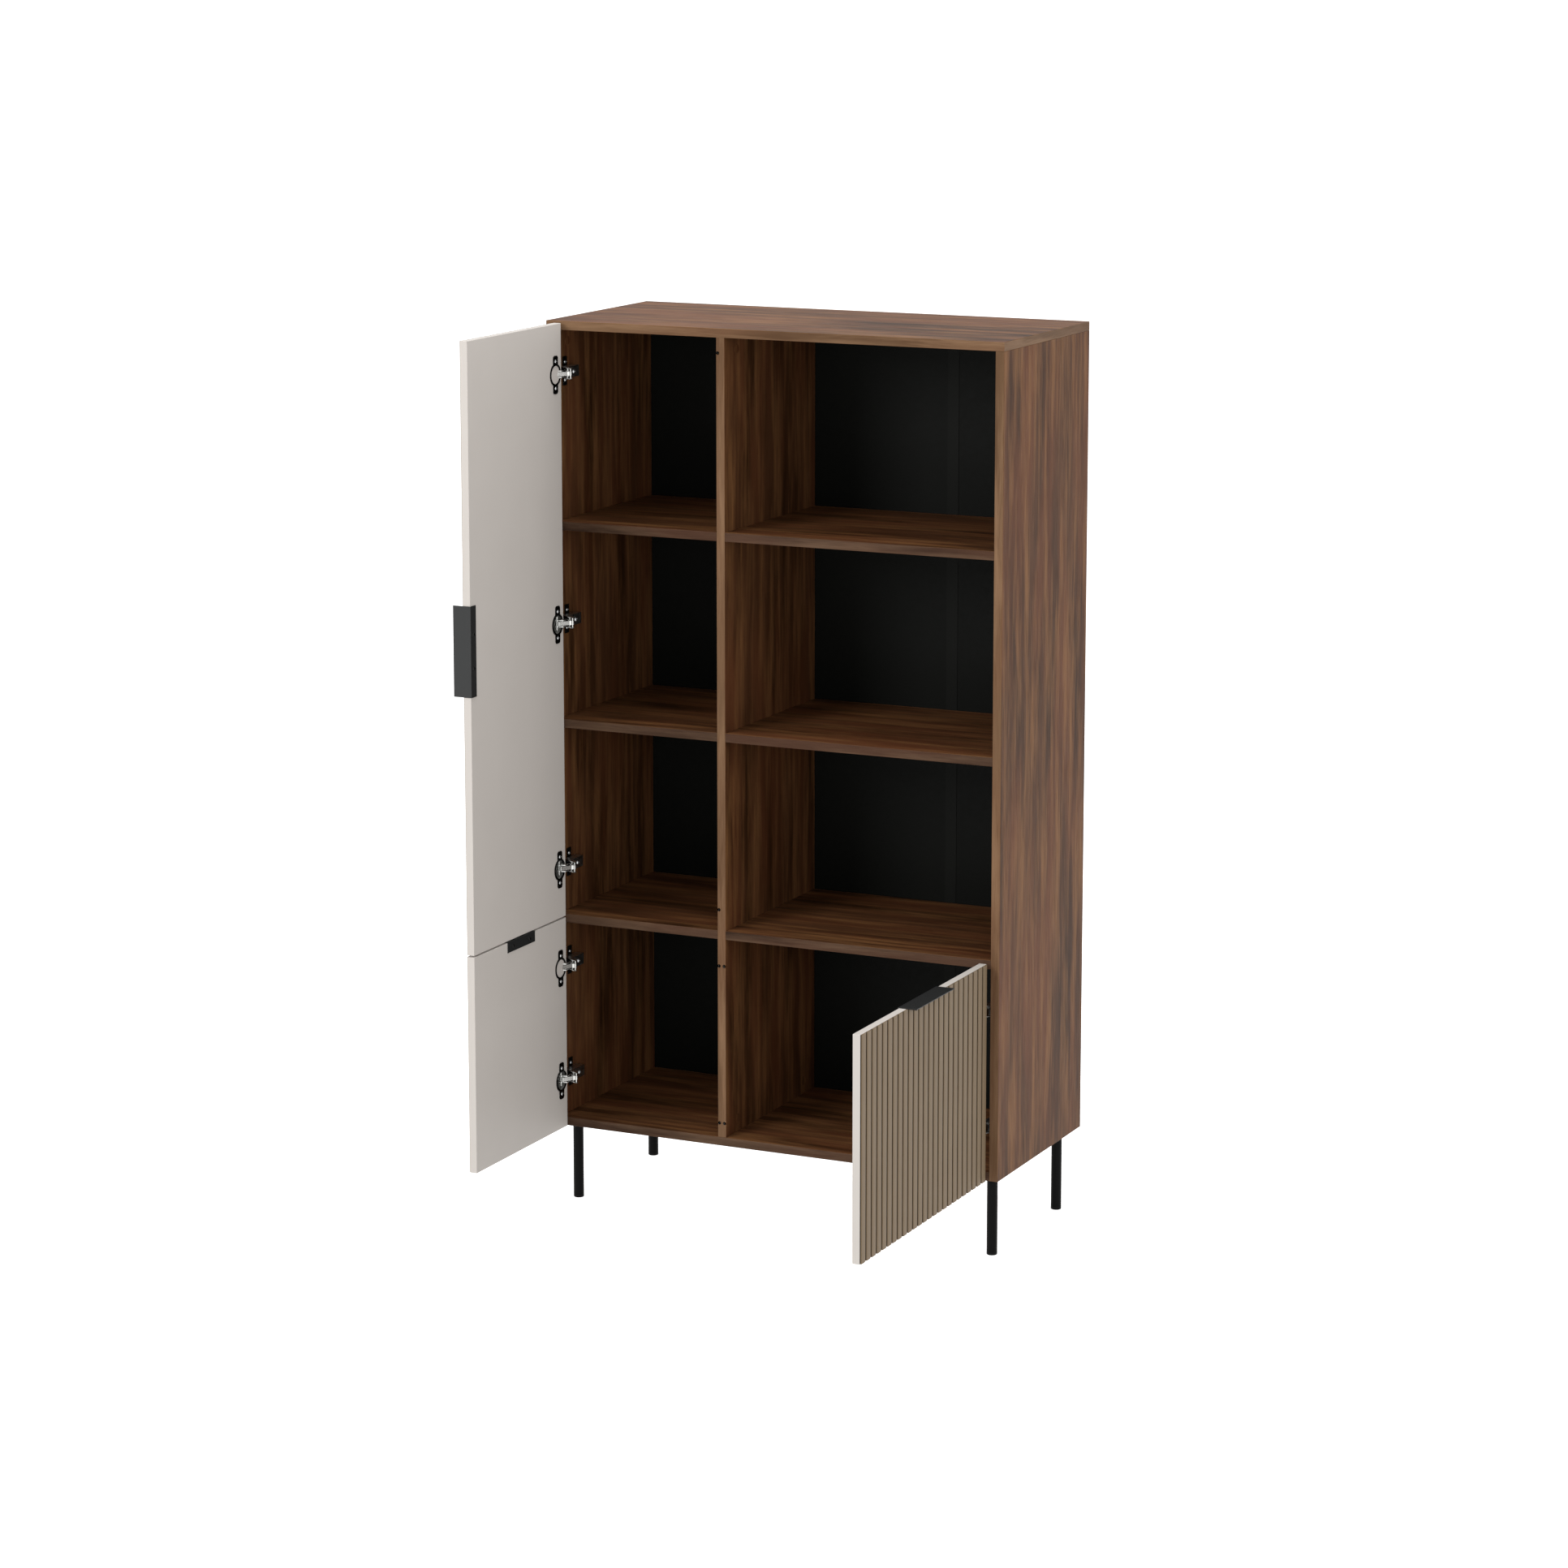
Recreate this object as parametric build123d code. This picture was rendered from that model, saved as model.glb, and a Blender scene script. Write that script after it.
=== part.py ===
from build123d import *
import math
import os

# Tall storage unit with a column of cubes on each side of an off-centre divider, three doors with
# ribbed fronts and four round legs. Millimetres, +X to the right, +Y to the back, +Z up. The doors
# are modelled open at a right angle, which is the rest pose.

# --- driving dimensions ---------------------------------------------------------------------------
width = 880.0            # outside width of the carcass
depth = 393.0            # front edge of the boards to their back edge
board = 16.0             # thickness of every carcass board
low_bay = 365.0          # clear height of the bottom row of cubes
bay = 343.0              # clear height of each of the three rows above
left_bay_width = 320.0   # clear width of the left column
leg_height = 147.0       # floor to the underside of the carcass

back_thick = 3.0         # hardboard back
back_inset = 11.5        # back face of the hardboard to the back edge of the boards
groove_deep = 7.0        # groove that holds the hardboard
groove_play = 0.2        # on each side of the hardboard
seam_from_divider = 281.5  # centre of the divider to the seam in the right column's back
strip_width = 22.0       # flange of the H-section strip over that seam
strip_skin = 1.0         # its flange and web thickness

door_thick = 16.0
door_gap = 3.0           # between neighbouring doors
door_stand_off = 3.0     # back of a closed door to the front of the carcass
top_reveal = 3.0         # top of the tall door below the top of the carcass
low_reveal = 5.0         # top of the low doors below the top of the shelf behind them
bottom_reveal = 2.0      # bottom of the low doors above the underside of the carcass
side_reveal = 2.5        # hinge edge of a door to the outside of the carcass
rib_pitch = 21.27
rib_groove = 6.5         # width of the groove between two ribs at the face
rib_groove_floor = 3.0
rib_groove_deep = 2.2

handle_skin = 1.5        # folded edge handle
handle_lip = 17.0        # how far it stands out past the door's front
handle_flange = 18.0     # screwed to the door's back
long_handle = 160.0
short_handle = 100.0

leg_radius = 9.5
leg_wall = 1.5
leg_inset_x = 28.0
leg_inset_y = 45.0
glide_height = 6.0
leg_plate = 50.0
leg_plate_thick = 2.5

hinge_end = 90.0         # door end to the middle of the nearest hinge
cup_radius = 17.5
cup_deep = 12.2
cup_wall = 1.2
cup_floor = 1.0
cup_from_edge = 5.0      # rim of the cup to the door's hinge edge
wing_span = 68.0
wing_width = 17.0
wing_thick = 1.2
rim_notch = 1.6          # depth of the notch in the rim that lets the links out
open_inset = 18.0        # back face of the open door, inward of the side board's inner face
open_forward = 8.0       # hinge edge of the open door, forward of the carcass
cup_pin = (12.0, 6.5)    # outer links' pin: from the hinge edge, from the back face
inner_end = (16.5, 3.0)  # inner link's end, the same way
outer_reach = 28.0       # arm pin to the middle of the cup pin's travel, outer links
inner_reach = 28.0       # the same for the inner link
link_knee = (22.0, 16.8)  # bend of the outer links when the door is open: inward, forward
inner_knee = (26.5, -0.9)  # bend of the inner link when the door is closed, the same way
link_half = 1.4          # half the width of a link's shank
arm_length = 58.0
arm_half = 10.0          # half the height of the arm
arm_skin = 1.4
plate_line = 37.0        # mounting plate screws to the front of the carcass
plate_spacing = 32.0     # between the two screws
pin_play = 0.05          # radial clearance of a link on its pin
pin_radius = 1.5

fit_play = 0.1           # radial clearance round fixed screws, cups and dowels
cam_radius = 7.5
cam_deep = 12.5
cam_from_end = 24.0      # centre of a cam to the end of its board
cam_slot_radius = 2.5    # driver slot in a cam's face
cam_slot_deep = 0.8
bolt_radius = 3.5
dowel_radius = 4.0
dowel_in_board = 6.5     # how far bolts and dowels go into a board's face
dowel_in_end = 20.0      # and into a board's end
cam_depths = (50.0, 330.0)    # from the front edge
dowel_depths = (90.0, 290.0)
low_cam_depths = (100.0, 293.0)     # in the bottom board, between the leg plates
low_dowel_depths = (140.0, 253.0)
other_side_shift = 20.0  # keeps fittings on both faces of the divider apart

# --- places that follow ---------------------------------------------------------------------------
divider_x = -width / 2 + board + left_bay_width
divider_mid = divider_x + board / 2
left_door = divider_mid - door_gap / 2 + width / 2 - side_reveal
right_door = width / 2 - side_reveal - divider_mid - door_gap / 2
reach = open_forward + right_door
y_front = (reach - depth) / 2
y_back = y_front + depth
y_back_face = y_back - back_inset - back_thick
shelf_depth = depth - back_inset - back_thick - 1.5

z_bottom = leg_height
z_floor_top = z_bottom + board
z_shelves = [z_floor_top + low_bay]
z_shelves.append(z_shelves[0] + board + bay)
z_shelves.append(z_shelves[1] + board + bay)
z_top = z_shelves[2] + board + bay
z_roof = z_top + board

z_low_door = z_bottom + bottom_reveal
z_low_door_top = z_shelves[0] + board - low_reveal
z_tall_door = z_low_door_top + door_gap
z_tall_door_top = z_roof - top_reveal


def block(x0, x1, y0, y1, z0, z1):
    """A box from its two corners, given in any order along each axis."""
    middle = ((x0 + x1) / 2, (y0 + y1) / 2, (z0 + z1) / 2)
    return Pos(*middle) * Box(abs(x1 - x0), abs(y1 - y0), abs(z1 - z0))


def rod(start, direction, radius, length):
    """A cylinder from start along a direction."""
    plane = Plane(origin=start, z_dir=direction)
    return plane * Cylinder(radius, length, align=(Align.CENTER, Align.CENTER, Align.MIN))


def together(solids):
    """Separate solids as one node."""
    flat = []
    for solid in solids:
        flat.extend(solid.solids())
    return Compound(children=flat)


def cut(board_solid, tools):
    for tool in tools:
        board_solid = board_solid - tool
    return board_solid


parts = {}

# --- carcass boards, before their fittings --------------------------------------------------------
inner_left = -width / 2 + board
inner_right = width / 2 - board
divider_right = divider_x + board
boards = {
    "top_panel": block(-width / 2, width / 2, y_front, y_back, z_top, z_roof),
    "bottom_panel": block(inner_left, inner_right, y_front, y_back, z_bottom, z_floor_top),
    "left_side_panel": block(-width / 2, inner_left, y_front, y_back, z_bottom, z_top),
    "right_side_panel": block(inner_right, width / 2, y_front, y_back, z_bottom, z_top),
    "centre_divider": block(divider_x, divider_right, y_front, y_front + shelf_depth, z_floor_top, z_top),
}
columns = {"left": (inner_left, divider_x), "right": (divider_right, inner_right)}
levels = ("lower", "middle", "upper")
for side, (x0, x1) in columns.items():
    for level, z in zip(levels, z_shelves):
        boards[f"{side}_shelf_{level}"] = block(x0, x1, y_front, y_front + shelf_depth, z, z + board)

groove = block(
    inner_left - groove_deep,
    inner_right + groove_deep,
    y_back_face - groove_play,
    y_back_face + back_thick + groove_play,
    z_floor_top - groove_deep,
    z_top + groove_deep,
)
for name in ("top_panel", "bottom_panel", "left_side_panel", "right_side_panel"):
    boards[name] = boards[name] - groove

# --- cam fittings and dowels ----------------------------------------------------------------------
cam_locks = []
cam_bolts = []
dowels = []


def join_end(end_board, face_board, end_point, direction, cam_side, shift=0.0, depths=None):
    """Two cams with bolts and two dowels where a board's end meets another board's face.

    end_point is the middle of the end at the front edge, direction points out of the end, and
    cam_side points from the middle of the board to the face that the cams open in.
    """
    ex, ey, ez = end_point
    dx, dz = direction
    cx, cz = cam_side
    cams_at, dowels_at = depths or (cam_depths, dowel_depths)
    for along in cams_at:
        y = ey + along + shift
        back = -dowel_in_end
        start = (ex + dx * back, y, ez + dz * back)
        bolt = rod(start, (dx, 0, dz), bolt_radius, dowel_in_end + dowel_in_board)
        hole = rod(start, (dx, 0, dz), bolt_radius + fit_play, dowel_in_end + dowel_in_board)
        cam_mid = (ex - dx * cam_from_end, y, ez - dz * cam_from_end)
        face = (cam_mid[0] + cx * board / 2, y, cam_mid[2] + cz * board / 2)
        cam = rod(face, (-cx, 0, -cz), cam_radius, cam_deep)
        pocket = rod(face, (-cx, 0, -cz), cam_radius + fit_play, cam_deep)
        slot_floor = (face[0] - cx * cam_slot_deep, y, face[2] - cz * cam_slot_deep)
        slot = rod(slot_floor, (cx, 0, cz), cam_slot_radius, cam_slot_deep)
        cam = cam - slot - hole
        boards[end_board] = boards[end_board] - pocket - hole
        boards[face_board] = boards[face_board] - hole
        cam_locks.append(cam)
        cam_bolts.append(bolt)
    for along in dowels_at:
        y = ey + along + shift
        start = (ex - dx * dowel_in_end, y, ez - dz * dowel_in_end)
        dowel = rod(start, (dx, 0, dz), dowel_radius, dowel_in_end + dowel_in_board)
        hole = rod(start, (dx, 0, dz), dowel_radius + fit_play, dowel_in_end + dowel_in_board)
        boards[end_board] = boards[end_board] - hole
        boards[face_board] = boards[face_board] - hole
        dowels.append(dowel)


down = (0, -1)
for side, (x0, x1) in columns.items():
    outer = f"{side}_side_panel"
    ends = ((x0, -1), (x1, 1))
    for level, z in zip(levels, z_shelves):
        for x, out in ends:
            at_divider = x in (divider_x, divider_right)
            face_board = "centre_divider" if at_divider else outer
            shift = other_side_shift if side == "right" else 0.0
            point = (x, y_front, z + board / 2)
            join_end(f"{side}_shelf_{level}", face_board, point, (out, 0), down, shift)
middle_z = z_bottom + board / 2
low_depths = (low_cam_depths, low_dowel_depths)
for name, x, out in (("left_side_panel", inner_left, -1), ("right_side_panel", inner_right, 1)):
    join_end("bottom_panel", name, (x, y_front, middle_z), (out, 0), down, depths=low_depths)
for name, x, inward in (
    ("left_side_panel", -width / 2 + board / 2, (1, 0)),
    ("right_side_panel", width / 2 - board / 2, (-1, 0)),
    ("centre_divider", divider_mid, (1, 0)),
):
    join_end(name, "top_panel", (x, y_front, z_top), (0, 1), inward)
join_end("centre_divider", "bottom_panel", (divider_mid, y_front, z_floor_top), (0, -1), (1, 0))
parts["cam_locks"] = together(cam_locks)
parts["cam_bolts"] = together(cam_bolts)
parts["wooden_dowels"] = together(dowels)

# --- hardboard back in three sheets, with a strip over the open seam ------------------------------
groove_end_play = 1.0    # edge of a sheet to the floor of its groove
sheet_low = z_floor_top - groove_deep + groove_end_play
sheet_high = z_top + groove_deep - groove_end_play
sheet_left = inner_left - groove_deep + groove_end_play
sheet_right = inner_right + groove_deep - groove_end_play
seam = divider_mid + seam_from_divider
half_joint = 0.5         # half the gap between the two sheets behind the divider
strip_seat = 1.0         # edge of a sheet to the middle of the strip's web
sheet_ends = {
    "back_panel_left": (sheet_left, divider_mid - half_joint),
    "back_panel_middle": (divider_mid + half_joint, seam - strip_seat),
    "back_panel_right": (seam + strip_seat, sheet_right),
}
screw_radius = 1.5
back_screw_offset = 4.0  # to each side of the divider's middle
back_head = (3.0, 1.6)   # radius and height
end_rows = 60.0          # first and last rows of screws to the ends of the sheets' opening
back_screws = []
back_rows = [z_floor_top + end_rows] + [z + board / 2 for z in z_shelves] + [z_top - end_rows]
back_screw_length = 14.0
for name, (x0, x1) in sheet_ends.items():
    parts[name] = block(x0, x1, y_back_face, y_back_face + back_thick, sheet_low, sheet_high)
for z in back_rows:
    for name, offset in (("back_panel_left", -back_screw_offset), ("back_panel_middle", back_screw_offset)):
        seat = (divider_mid + offset, y_back_face + back_thick, z)
        shank = rod(seat, (0, -1, 0), screw_radius, back_screw_length)
        hole = rod(seat, (0, -1, 0), screw_radius + fit_play, back_screw_length)
        head = rod(seat, (0, 1, 0), *back_head)
        back_screws.append(shank + head)
        parts[name] = parts[name] - hole
        boards["centre_divider"] = boards["centre_divider"] - hole
parts["back_screws"] = together(back_screws)

web = block(seam - 0.5, seam + 0.5, y_back_face, y_back_face + back_thick, z_floor_top, z_top)
flanges = [
    block(seam - strip_width / 2, seam + strip_width / 2, y, y + strip_skin, z_floor_top, z_top)
    for y in (y_back_face - strip_skin, y_back_face + back_thick)
]
parts["back_joint_strip"] = web + flanges[0] + flanges[1]

# --- legs -----------------------------------------------------------------------------------------
leg_plates = []
leg_screws = []
glides = []
plate_screw_radius = 2.0
plate_hole_offset = leg_plate / 2 - 8.0
plate_screw_length = 13.0
leg_screw_head = (4.0, 2.0)  # radius and height
glide_round = 1.5
glide_plug = 14.0        # how far a glide goes up into its tube
leg_places = {
    "leg_front_left": (-1, y_front + leg_inset_y),
    "leg_front_right": (1, y_front + leg_inset_y),
    "leg_back_left": (-1, y_back - leg_inset_y),
    "leg_back_right": (1, y_back - leg_inset_y),
}
for name, (side, y) in leg_places.items():
    x = side * (width / 2 - leg_inset_x)
    plate_low = z_bottom - leg_plate_thick
    tube = rod((x, y, glide_height), (0, 0, 1), leg_radius, plate_low - glide_height)
    bore = rod((x, y, glide_height), (0, 0, 1), leg_radius - leg_wall, plate_low - glide_height)
    parts[name] = tube - bore
    half = leg_plate / 2
    plate = block(x - half, x + half, y - half, y + half, plate_low, z_bottom)
    for dx in (-plate_hole_offset, plate_hole_offset):
        for dy in (-plate_hole_offset, plate_hole_offset):
            foot = (x + dx, y + dy, plate_low)
            hole = rod(foot, (0, 0, 1), plate_screw_radius + fit_play, plate_screw_length)
            shank = rod(foot, (0, 0, 1), plate_screw_radius, plate_screw_length)
            head = rod(foot, (0, 0, -1), *leg_screw_head)
            leg_screws.append(shank + head)
            plate = plate - hole
            boards["bottom_panel"] = boards["bottom_panel"] - hole
            boards[f"{'left' if side < 0 else 'right'}_side_panel"] -= hole
    leg_plates.append(plate)
    cap = rod((x, y, 0), (0, 0, 1), leg_radius, glide_height)
    cap = fillet(cap.edges().group_by(Axis.Z)[0], glide_round)
    plug = rod((x, y, glide_height), (0, 0, 1), leg_radius - leg_wall - fit_play, glide_plug)
    glides.append(cap + plug)
parts["leg_plates"] = together(leg_plates)
parts["leg_screws"] = together(leg_screws)
parts["leg_glides"] = together(glides)

# --- concealed hinges -----------------------------------------------------------------------------
# Everything here is first worked out in the hinge's own plane: u inward from the inner face of the
# side board, v forward from the front of the carcass, both as seen with the door closed or open.
closed_corner = (-(board - side_reveal), door_stand_off)
open_corner = (open_inset, open_forward)


def pivot(in_door, arm_reach):
    """Arm pin of a link whose other end is at in_door, and its turn per turn of the door."""
    s, w = in_door
    closed = (closed_corner[0] + s, closed_corner[1] + w)
    opened = (open_corner[0] - w, open_corner[1] + s)
    du = opened[0] - closed[0]
    dv = opened[1] - closed[1]
    travel = math.hypot(du, dv)
    u = (closed[0] + opened[0]) / 2 + dv / travel * arm_reach
    v = (closed[1] + opened[1]) / 2 - du / travel * arm_reach
    turn = -2 * math.atan(travel / 2 / arm_reach) / (math.pi / 2)
    return (u, v), opened, turn


outer_pin, cup_pin_open, outer_turn = pivot(cup_pin, outer_reach)
inner_pin, inner_end_open, inner_turn = pivot(inner_end, inner_reach)

outer_layer = (4.8, 6.6)   # heights of the two outer links above and below the hinge's middle
inner_layer = 3.6          # half the height of the inner link
inner_stop = 2.5           # the inner link ends this far short of its cup pin
flange_layer = (arm_half - arm_skin, arm_half)
boss = 3.0
inner_boss = 2.6
arm_web = (17.5, 17.5 + arm_skin)
arm_back = 14.0            # the web of the arm ends this far behind the carcass front
plate_height = 52.0
plate_width = 14.0
plate_thick = 2.0
rail_half = 6.0
rail_thick = 6.0
rail_front = 12.0
cup_screw_offset = 24.0
small_screw = 1.75
cup_screw_length = 10.0
plate_screw_deep = 12.0
arm_screw_v = -plate_line
arm_screw_radius = 2.5
arm_screw_head = (4.2, 1.8)   # radius and height
plate_screw_head = (3.4, 1.4)
cup_screw_head = (3.3, 1.3)
wing_round = 5.0


class Side:
    """Places points of the hinge plane on the left or the right of the unit."""

    def __init__(self, sign):
        self.sign = sign

    def at(self, u, v, z):
        return (self.sign * (width / 2 - board - u), y_front - v, z)

    def disc(self, centre, radius, z0, z1):
        return rod(self.at(*centre, z0), (0, 0, 1), radius, z1 - z0)

    def shape(self, points, z0, z1):
        outline = Polyline(*[self.at(u, v, z0) for u, v in points], close=True)
        return extrude(make_face(outline), z1 - z0, dir=(0, 0, 1))

    def bar(self, start, end, half, z0, z1):
        """A straight bar with round ends between two points of the hinge plane."""
        du = end[0] - start[0]
        dv = end[1] - start[1]
        length = math.hypot(du, dv)
        nu = -dv / length * half
        nv = du / length * half
        corners = [
            (start[0] + nu, start[1] + nv),
            (end[0] + nu, end[1] + nv),
            (end[0] - nu, end[1] - nv),
            (start[0] - nu, start[1] - nv),
        ]
        body = self.shape(corners, z0, z1)
        return body + self.disc(start, half, z0, z1) + self.disc(end, half, z0, z1)

    def cube(self, u0, u1, v0, v1, z0, z1):
        x0, y0, _ = self.at(u0, v0, z0)
        x1, y1, _ = self.at(u1, v1, z1)
        return block(x0, x1, y0, y1, z0, z1)


def mirrored(layer, z):
    """The same layer above and below height z."""
    return ((z + layer[0], z + layer[1]), (z - layer[1], z - layer[0]))


def arm(side, z):
    """Folded arm: a web with two cheeks that widen to a nose round both pins."""
    beside_rail = plate_thick + 0.5
    cheek = [
        (beside_rail, -arm_length),
        (beside_rail, -arm_back - 4.0),
        (outer_pin[0] - 3.2, outer_pin[1] + 2.5),
        (inner_pin[0] - 2.6, inner_pin[1] + 2.0),
        (inner_pin[0] + 1.6, inner_pin[1] + 2.0),
        (inner_pin[0] + 2.6, inner_pin[1] - 1.6),
        (outer_pin[0] + 2.5, outer_pin[1] - 3.4),
        (arm_web[1], -arm_back - 2.0),
        (arm_web[1], -arm_length),
    ]
    solid = side.cube(*arm_web, -arm_length, -arm_back, z - arm_half, z + arm_half)
    for z0, z1 in mirrored(flange_layer, z):
        solid = solid + side.shape(cheek, z0, z1)
        for pin in (outer_pin, inner_pin):
            solid = solid - side.disc(pin, pin_radius, z0, z1)
    hole_start = side.at(arm_web[0] - 1.0, arm_screw_v, z)
    return solid - rod(hole_start, (-side.sign, 0, 0), arm_screw_radius + fit_play, arm_skin + 2.0)


def arm_pins(side, z):
    return [side.disc(pin, pin_radius, z - arm_half, z + arm_half) for pin in (outer_pin, inner_pin)]


def arm_screw(side, z):
    """Screw through the arm's web into the rail of the mounting plate."""
    start = side.at(plate_thick + 1.0, arm_screw_v, z)
    length = arm_web[1] - plate_thick - 1.0 + 0.6
    shank = rod(start, (-side.sign, 0, 0), arm_screw_radius, length)
    tip = side.at(arm_web[1] + 0.6, arm_screw_v, z)
    return shank + rod(tip, (-side.sign, 0, 0), *arm_screw_head)


def mounting_plate(side, z):
    """Cross-shaped plate on the side board with a rail that carries the arm."""
    plate = side.cube(
        0, plate_thick, -plate_line - plate_width / 2, -plate_line + plate_width / 2,
        z - plate_height / 2, z + plate_height / 2,
    )
    rail = side.cube(
        0, plate_thick + rail_thick, -arm_length + 4.0, -rail_front, z - rail_half, z + rail_half
    )
    solid = plate + rail
    inward = (-side.sign, 0, 0)
    thread = side.at(plate_thick + 0.9, arm_screw_v, z)
    solid = solid - rod(thread, inward, arm_screw_radius + fit_play, rail_thick)
    for dz in (-plate_spacing / 2, plate_spacing / 2):
        start = side.at(-plate_screw_deep, -plate_line, z + dz)
        solid = solid - rod(start, inward, small_screw + fit_play, plate_screw_deep + plate_thick)
    return solid


def plate_screw(side, z, extra=0.0):
    start = side.at(-plate_screw_deep, -plate_line, z)
    shank = rod(start, (-side.sign, 0, 0), small_screw + extra, plate_screw_deep + plate_thick)
    if extra:
        return shank
    return shank + rod(side.at(plate_thick, -plate_line, z), (-side.sign, 0, 0), *plate_screw_head)


def door_point(s, w):
    """Hinge-plane place of a point s from the hinge edge and w from the back, door open."""
    return (open_corner[0] - w, open_corner[1] + s)


cup_middle = cup_from_edge + cup_radius


def cup_rod(side, s, w0, w1, z, radius):
    """A cylinder square to the door's back face, between two depths; negative is outside."""
    start = side.at(*door_point(s, w1), z)
    return rod(start, (-side.sign, 0, 0), radius, w1 - w0)


def hinge_cup(side, z):
    """Pressed cup with its two screw wings and the holes of the link pin."""
    shell = cup_rod(side, cup_middle, -wing_thick, cup_deep, z, cup_radius - fit_play)
    u1, v0 = door_point(cup_middle - wing_width / 2, -wing_thick)
    u0, v1 = door_point(cup_middle + wing_width / 2, 0.0)
    wings = side.cube(u0, u1, v0, v1, z - wing_span / 2, z + wing_span / 2)
    round_ends = wings.edges().filter_by(Axis.X)
    wings = fillet(round_ends, wing_round)
    rim = cup_rod(side, cup_middle, -wing_thick, 0.0, z, cup_radius + 2.5)
    inside = cup_rod(side, cup_middle, -wing_thick, cup_deep - cup_floor, z, cup_radius - cup_wall)
    solid = shell + wings + rim - inside
    for dz in (-cup_screw_offset, cup_screw_offset):
        solid = solid - cup_rod(side, cup_middle, -wing_thick, 0.0, z + dz, small_screw + fit_play)
    pin_hole = side.disc(cup_pin_open, pin_radius, z - cup_pin_half, z + cup_pin_half)
    u1, v0 = door_point(cup_from_edge - 3.0, -wing_thick - 1.0)
    u0, v1 = door_point(cup_pin[0] - boss - 0.5, rim_notch)
    notch = side.cube(u0, u1, v0, v1, z - outer_layer[1] - 0.7, z + outer_layer[1] + 0.7)
    return solid - pin_hole - notch


def cup_screw(side, z, extra=0.0):
    shank = cup_rod(side, cup_middle, -wing_thick, cup_screw_length, z, small_screw + extra)
    if extra:
        return shank
    radius, height = cup_screw_head
    return shank + cup_rod(side, cup_middle, -wing_thick - height, -wing_thick, z, radius)


half_chord = math.sqrt((cup_radius - cup_wall) ** 2 - (cup_middle - cup_pin[0]) ** 2)
cup_pin_half = half_chord + 0.1


def outer_links(side, z):
    """Two bent links, tied by a sleeve round the arm pin, that reach round the cup's rim."""
    solids = []
    for z0, z1 in mirrored(outer_layer, z):
        link = side.bar(cup_pin_open, link_knee, link_half, z0, z1)
        link = link + side.bar(link_knee, outer_pin, link_half, z0, z1)
        link = link + side.disc(cup_pin_open, boss, z0, z1) + side.disc(outer_pin, boss, z0, z1)
        solids.append(link)
    sleeve = side.disc(outer_pin, boss, z - outer_layer[0], z + outer_layer[0])
    solid = solids[0] + solids[1] + sleeve
    low = z - outer_layer[1]
    high = z + outer_layer[1]
    for pin in (cup_pin_open, outer_pin):
        solid = solid - side.disc(pin, pin_radius + pin_play, low, high)
    return solid


def turned(point, centre, angle):
    """A point of the hinge plane turned about a centre, anticlockwise, in radians."""
    du = point[0] - centre[0]
    dv = point[1] - centre[1]
    cosine = math.cos(angle)
    sine = math.sin(angle)
    return (centre[0] + du * cosine - dv * sine, centre[1] + du * sine + dv * cosine)


def inner_link(side, z):
    """Link beside the cup pin, bent to clear the cup's rim; its cup end is left open."""
    du = inner_pin[0] - inner_end_open[0]
    dv = inner_pin[1] - inner_end_open[1]
    share = inner_stop / math.hypot(du, dv)
    tip = (inner_end_open[0] + du * share, inner_end_open[1] + dv * share)
    low = z - inner_layer
    high = z + inner_layer
    knee = turned(inner_knee, inner_pin, inner_turn * math.pi / 2)
    solid = side.bar(tip, knee, link_half, low, high) + side.bar(knee, inner_pin, link_half, low, high)
    solid = solid + side.disc(inner_pin, inner_boss, low, high)
    return solid - side.disc(inner_pin, pin_radius + pin_play, low, high)


# --- doors ----------------------------------------------------------------------------------------
handle_screws_offset = 30.0
handle_screw_radius = 1.5
handle_screw_length = 11.0
handle_screw_head = (2.8, 1.2)  # radius and height
rib_mouth = 0.5          # how far the groove's cutter stands out of the face


def door_panel(side, long, z0, z1):
    """Door board with upright grooves down its front face."""
    u0, v0 = door_point(0.0, door_thick)
    u1, v1 = door_point(long, 0.0)
    panel = side.cube(u0, u1, v0, v1, z0, z1)
    ribs = round(long / rib_pitch)
    pitch = long / ribs
    for i in range(1, ribs):
        s = i * pitch
        outline = [
            door_point(s - rib_groove / 2, door_thick + rib_mouth),
            door_point(s - rib_groove_floor / 2, door_thick - rib_groove_deep),
            door_point(s + rib_groove_floor / 2, door_thick - rib_groove_deep),
            door_point(s + rib_groove / 2, door_thick + rib_mouth),
        ]
        panel = panel - side.shape(outline, z0 - 1.0, z1 + 1.0)
    return panel


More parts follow.
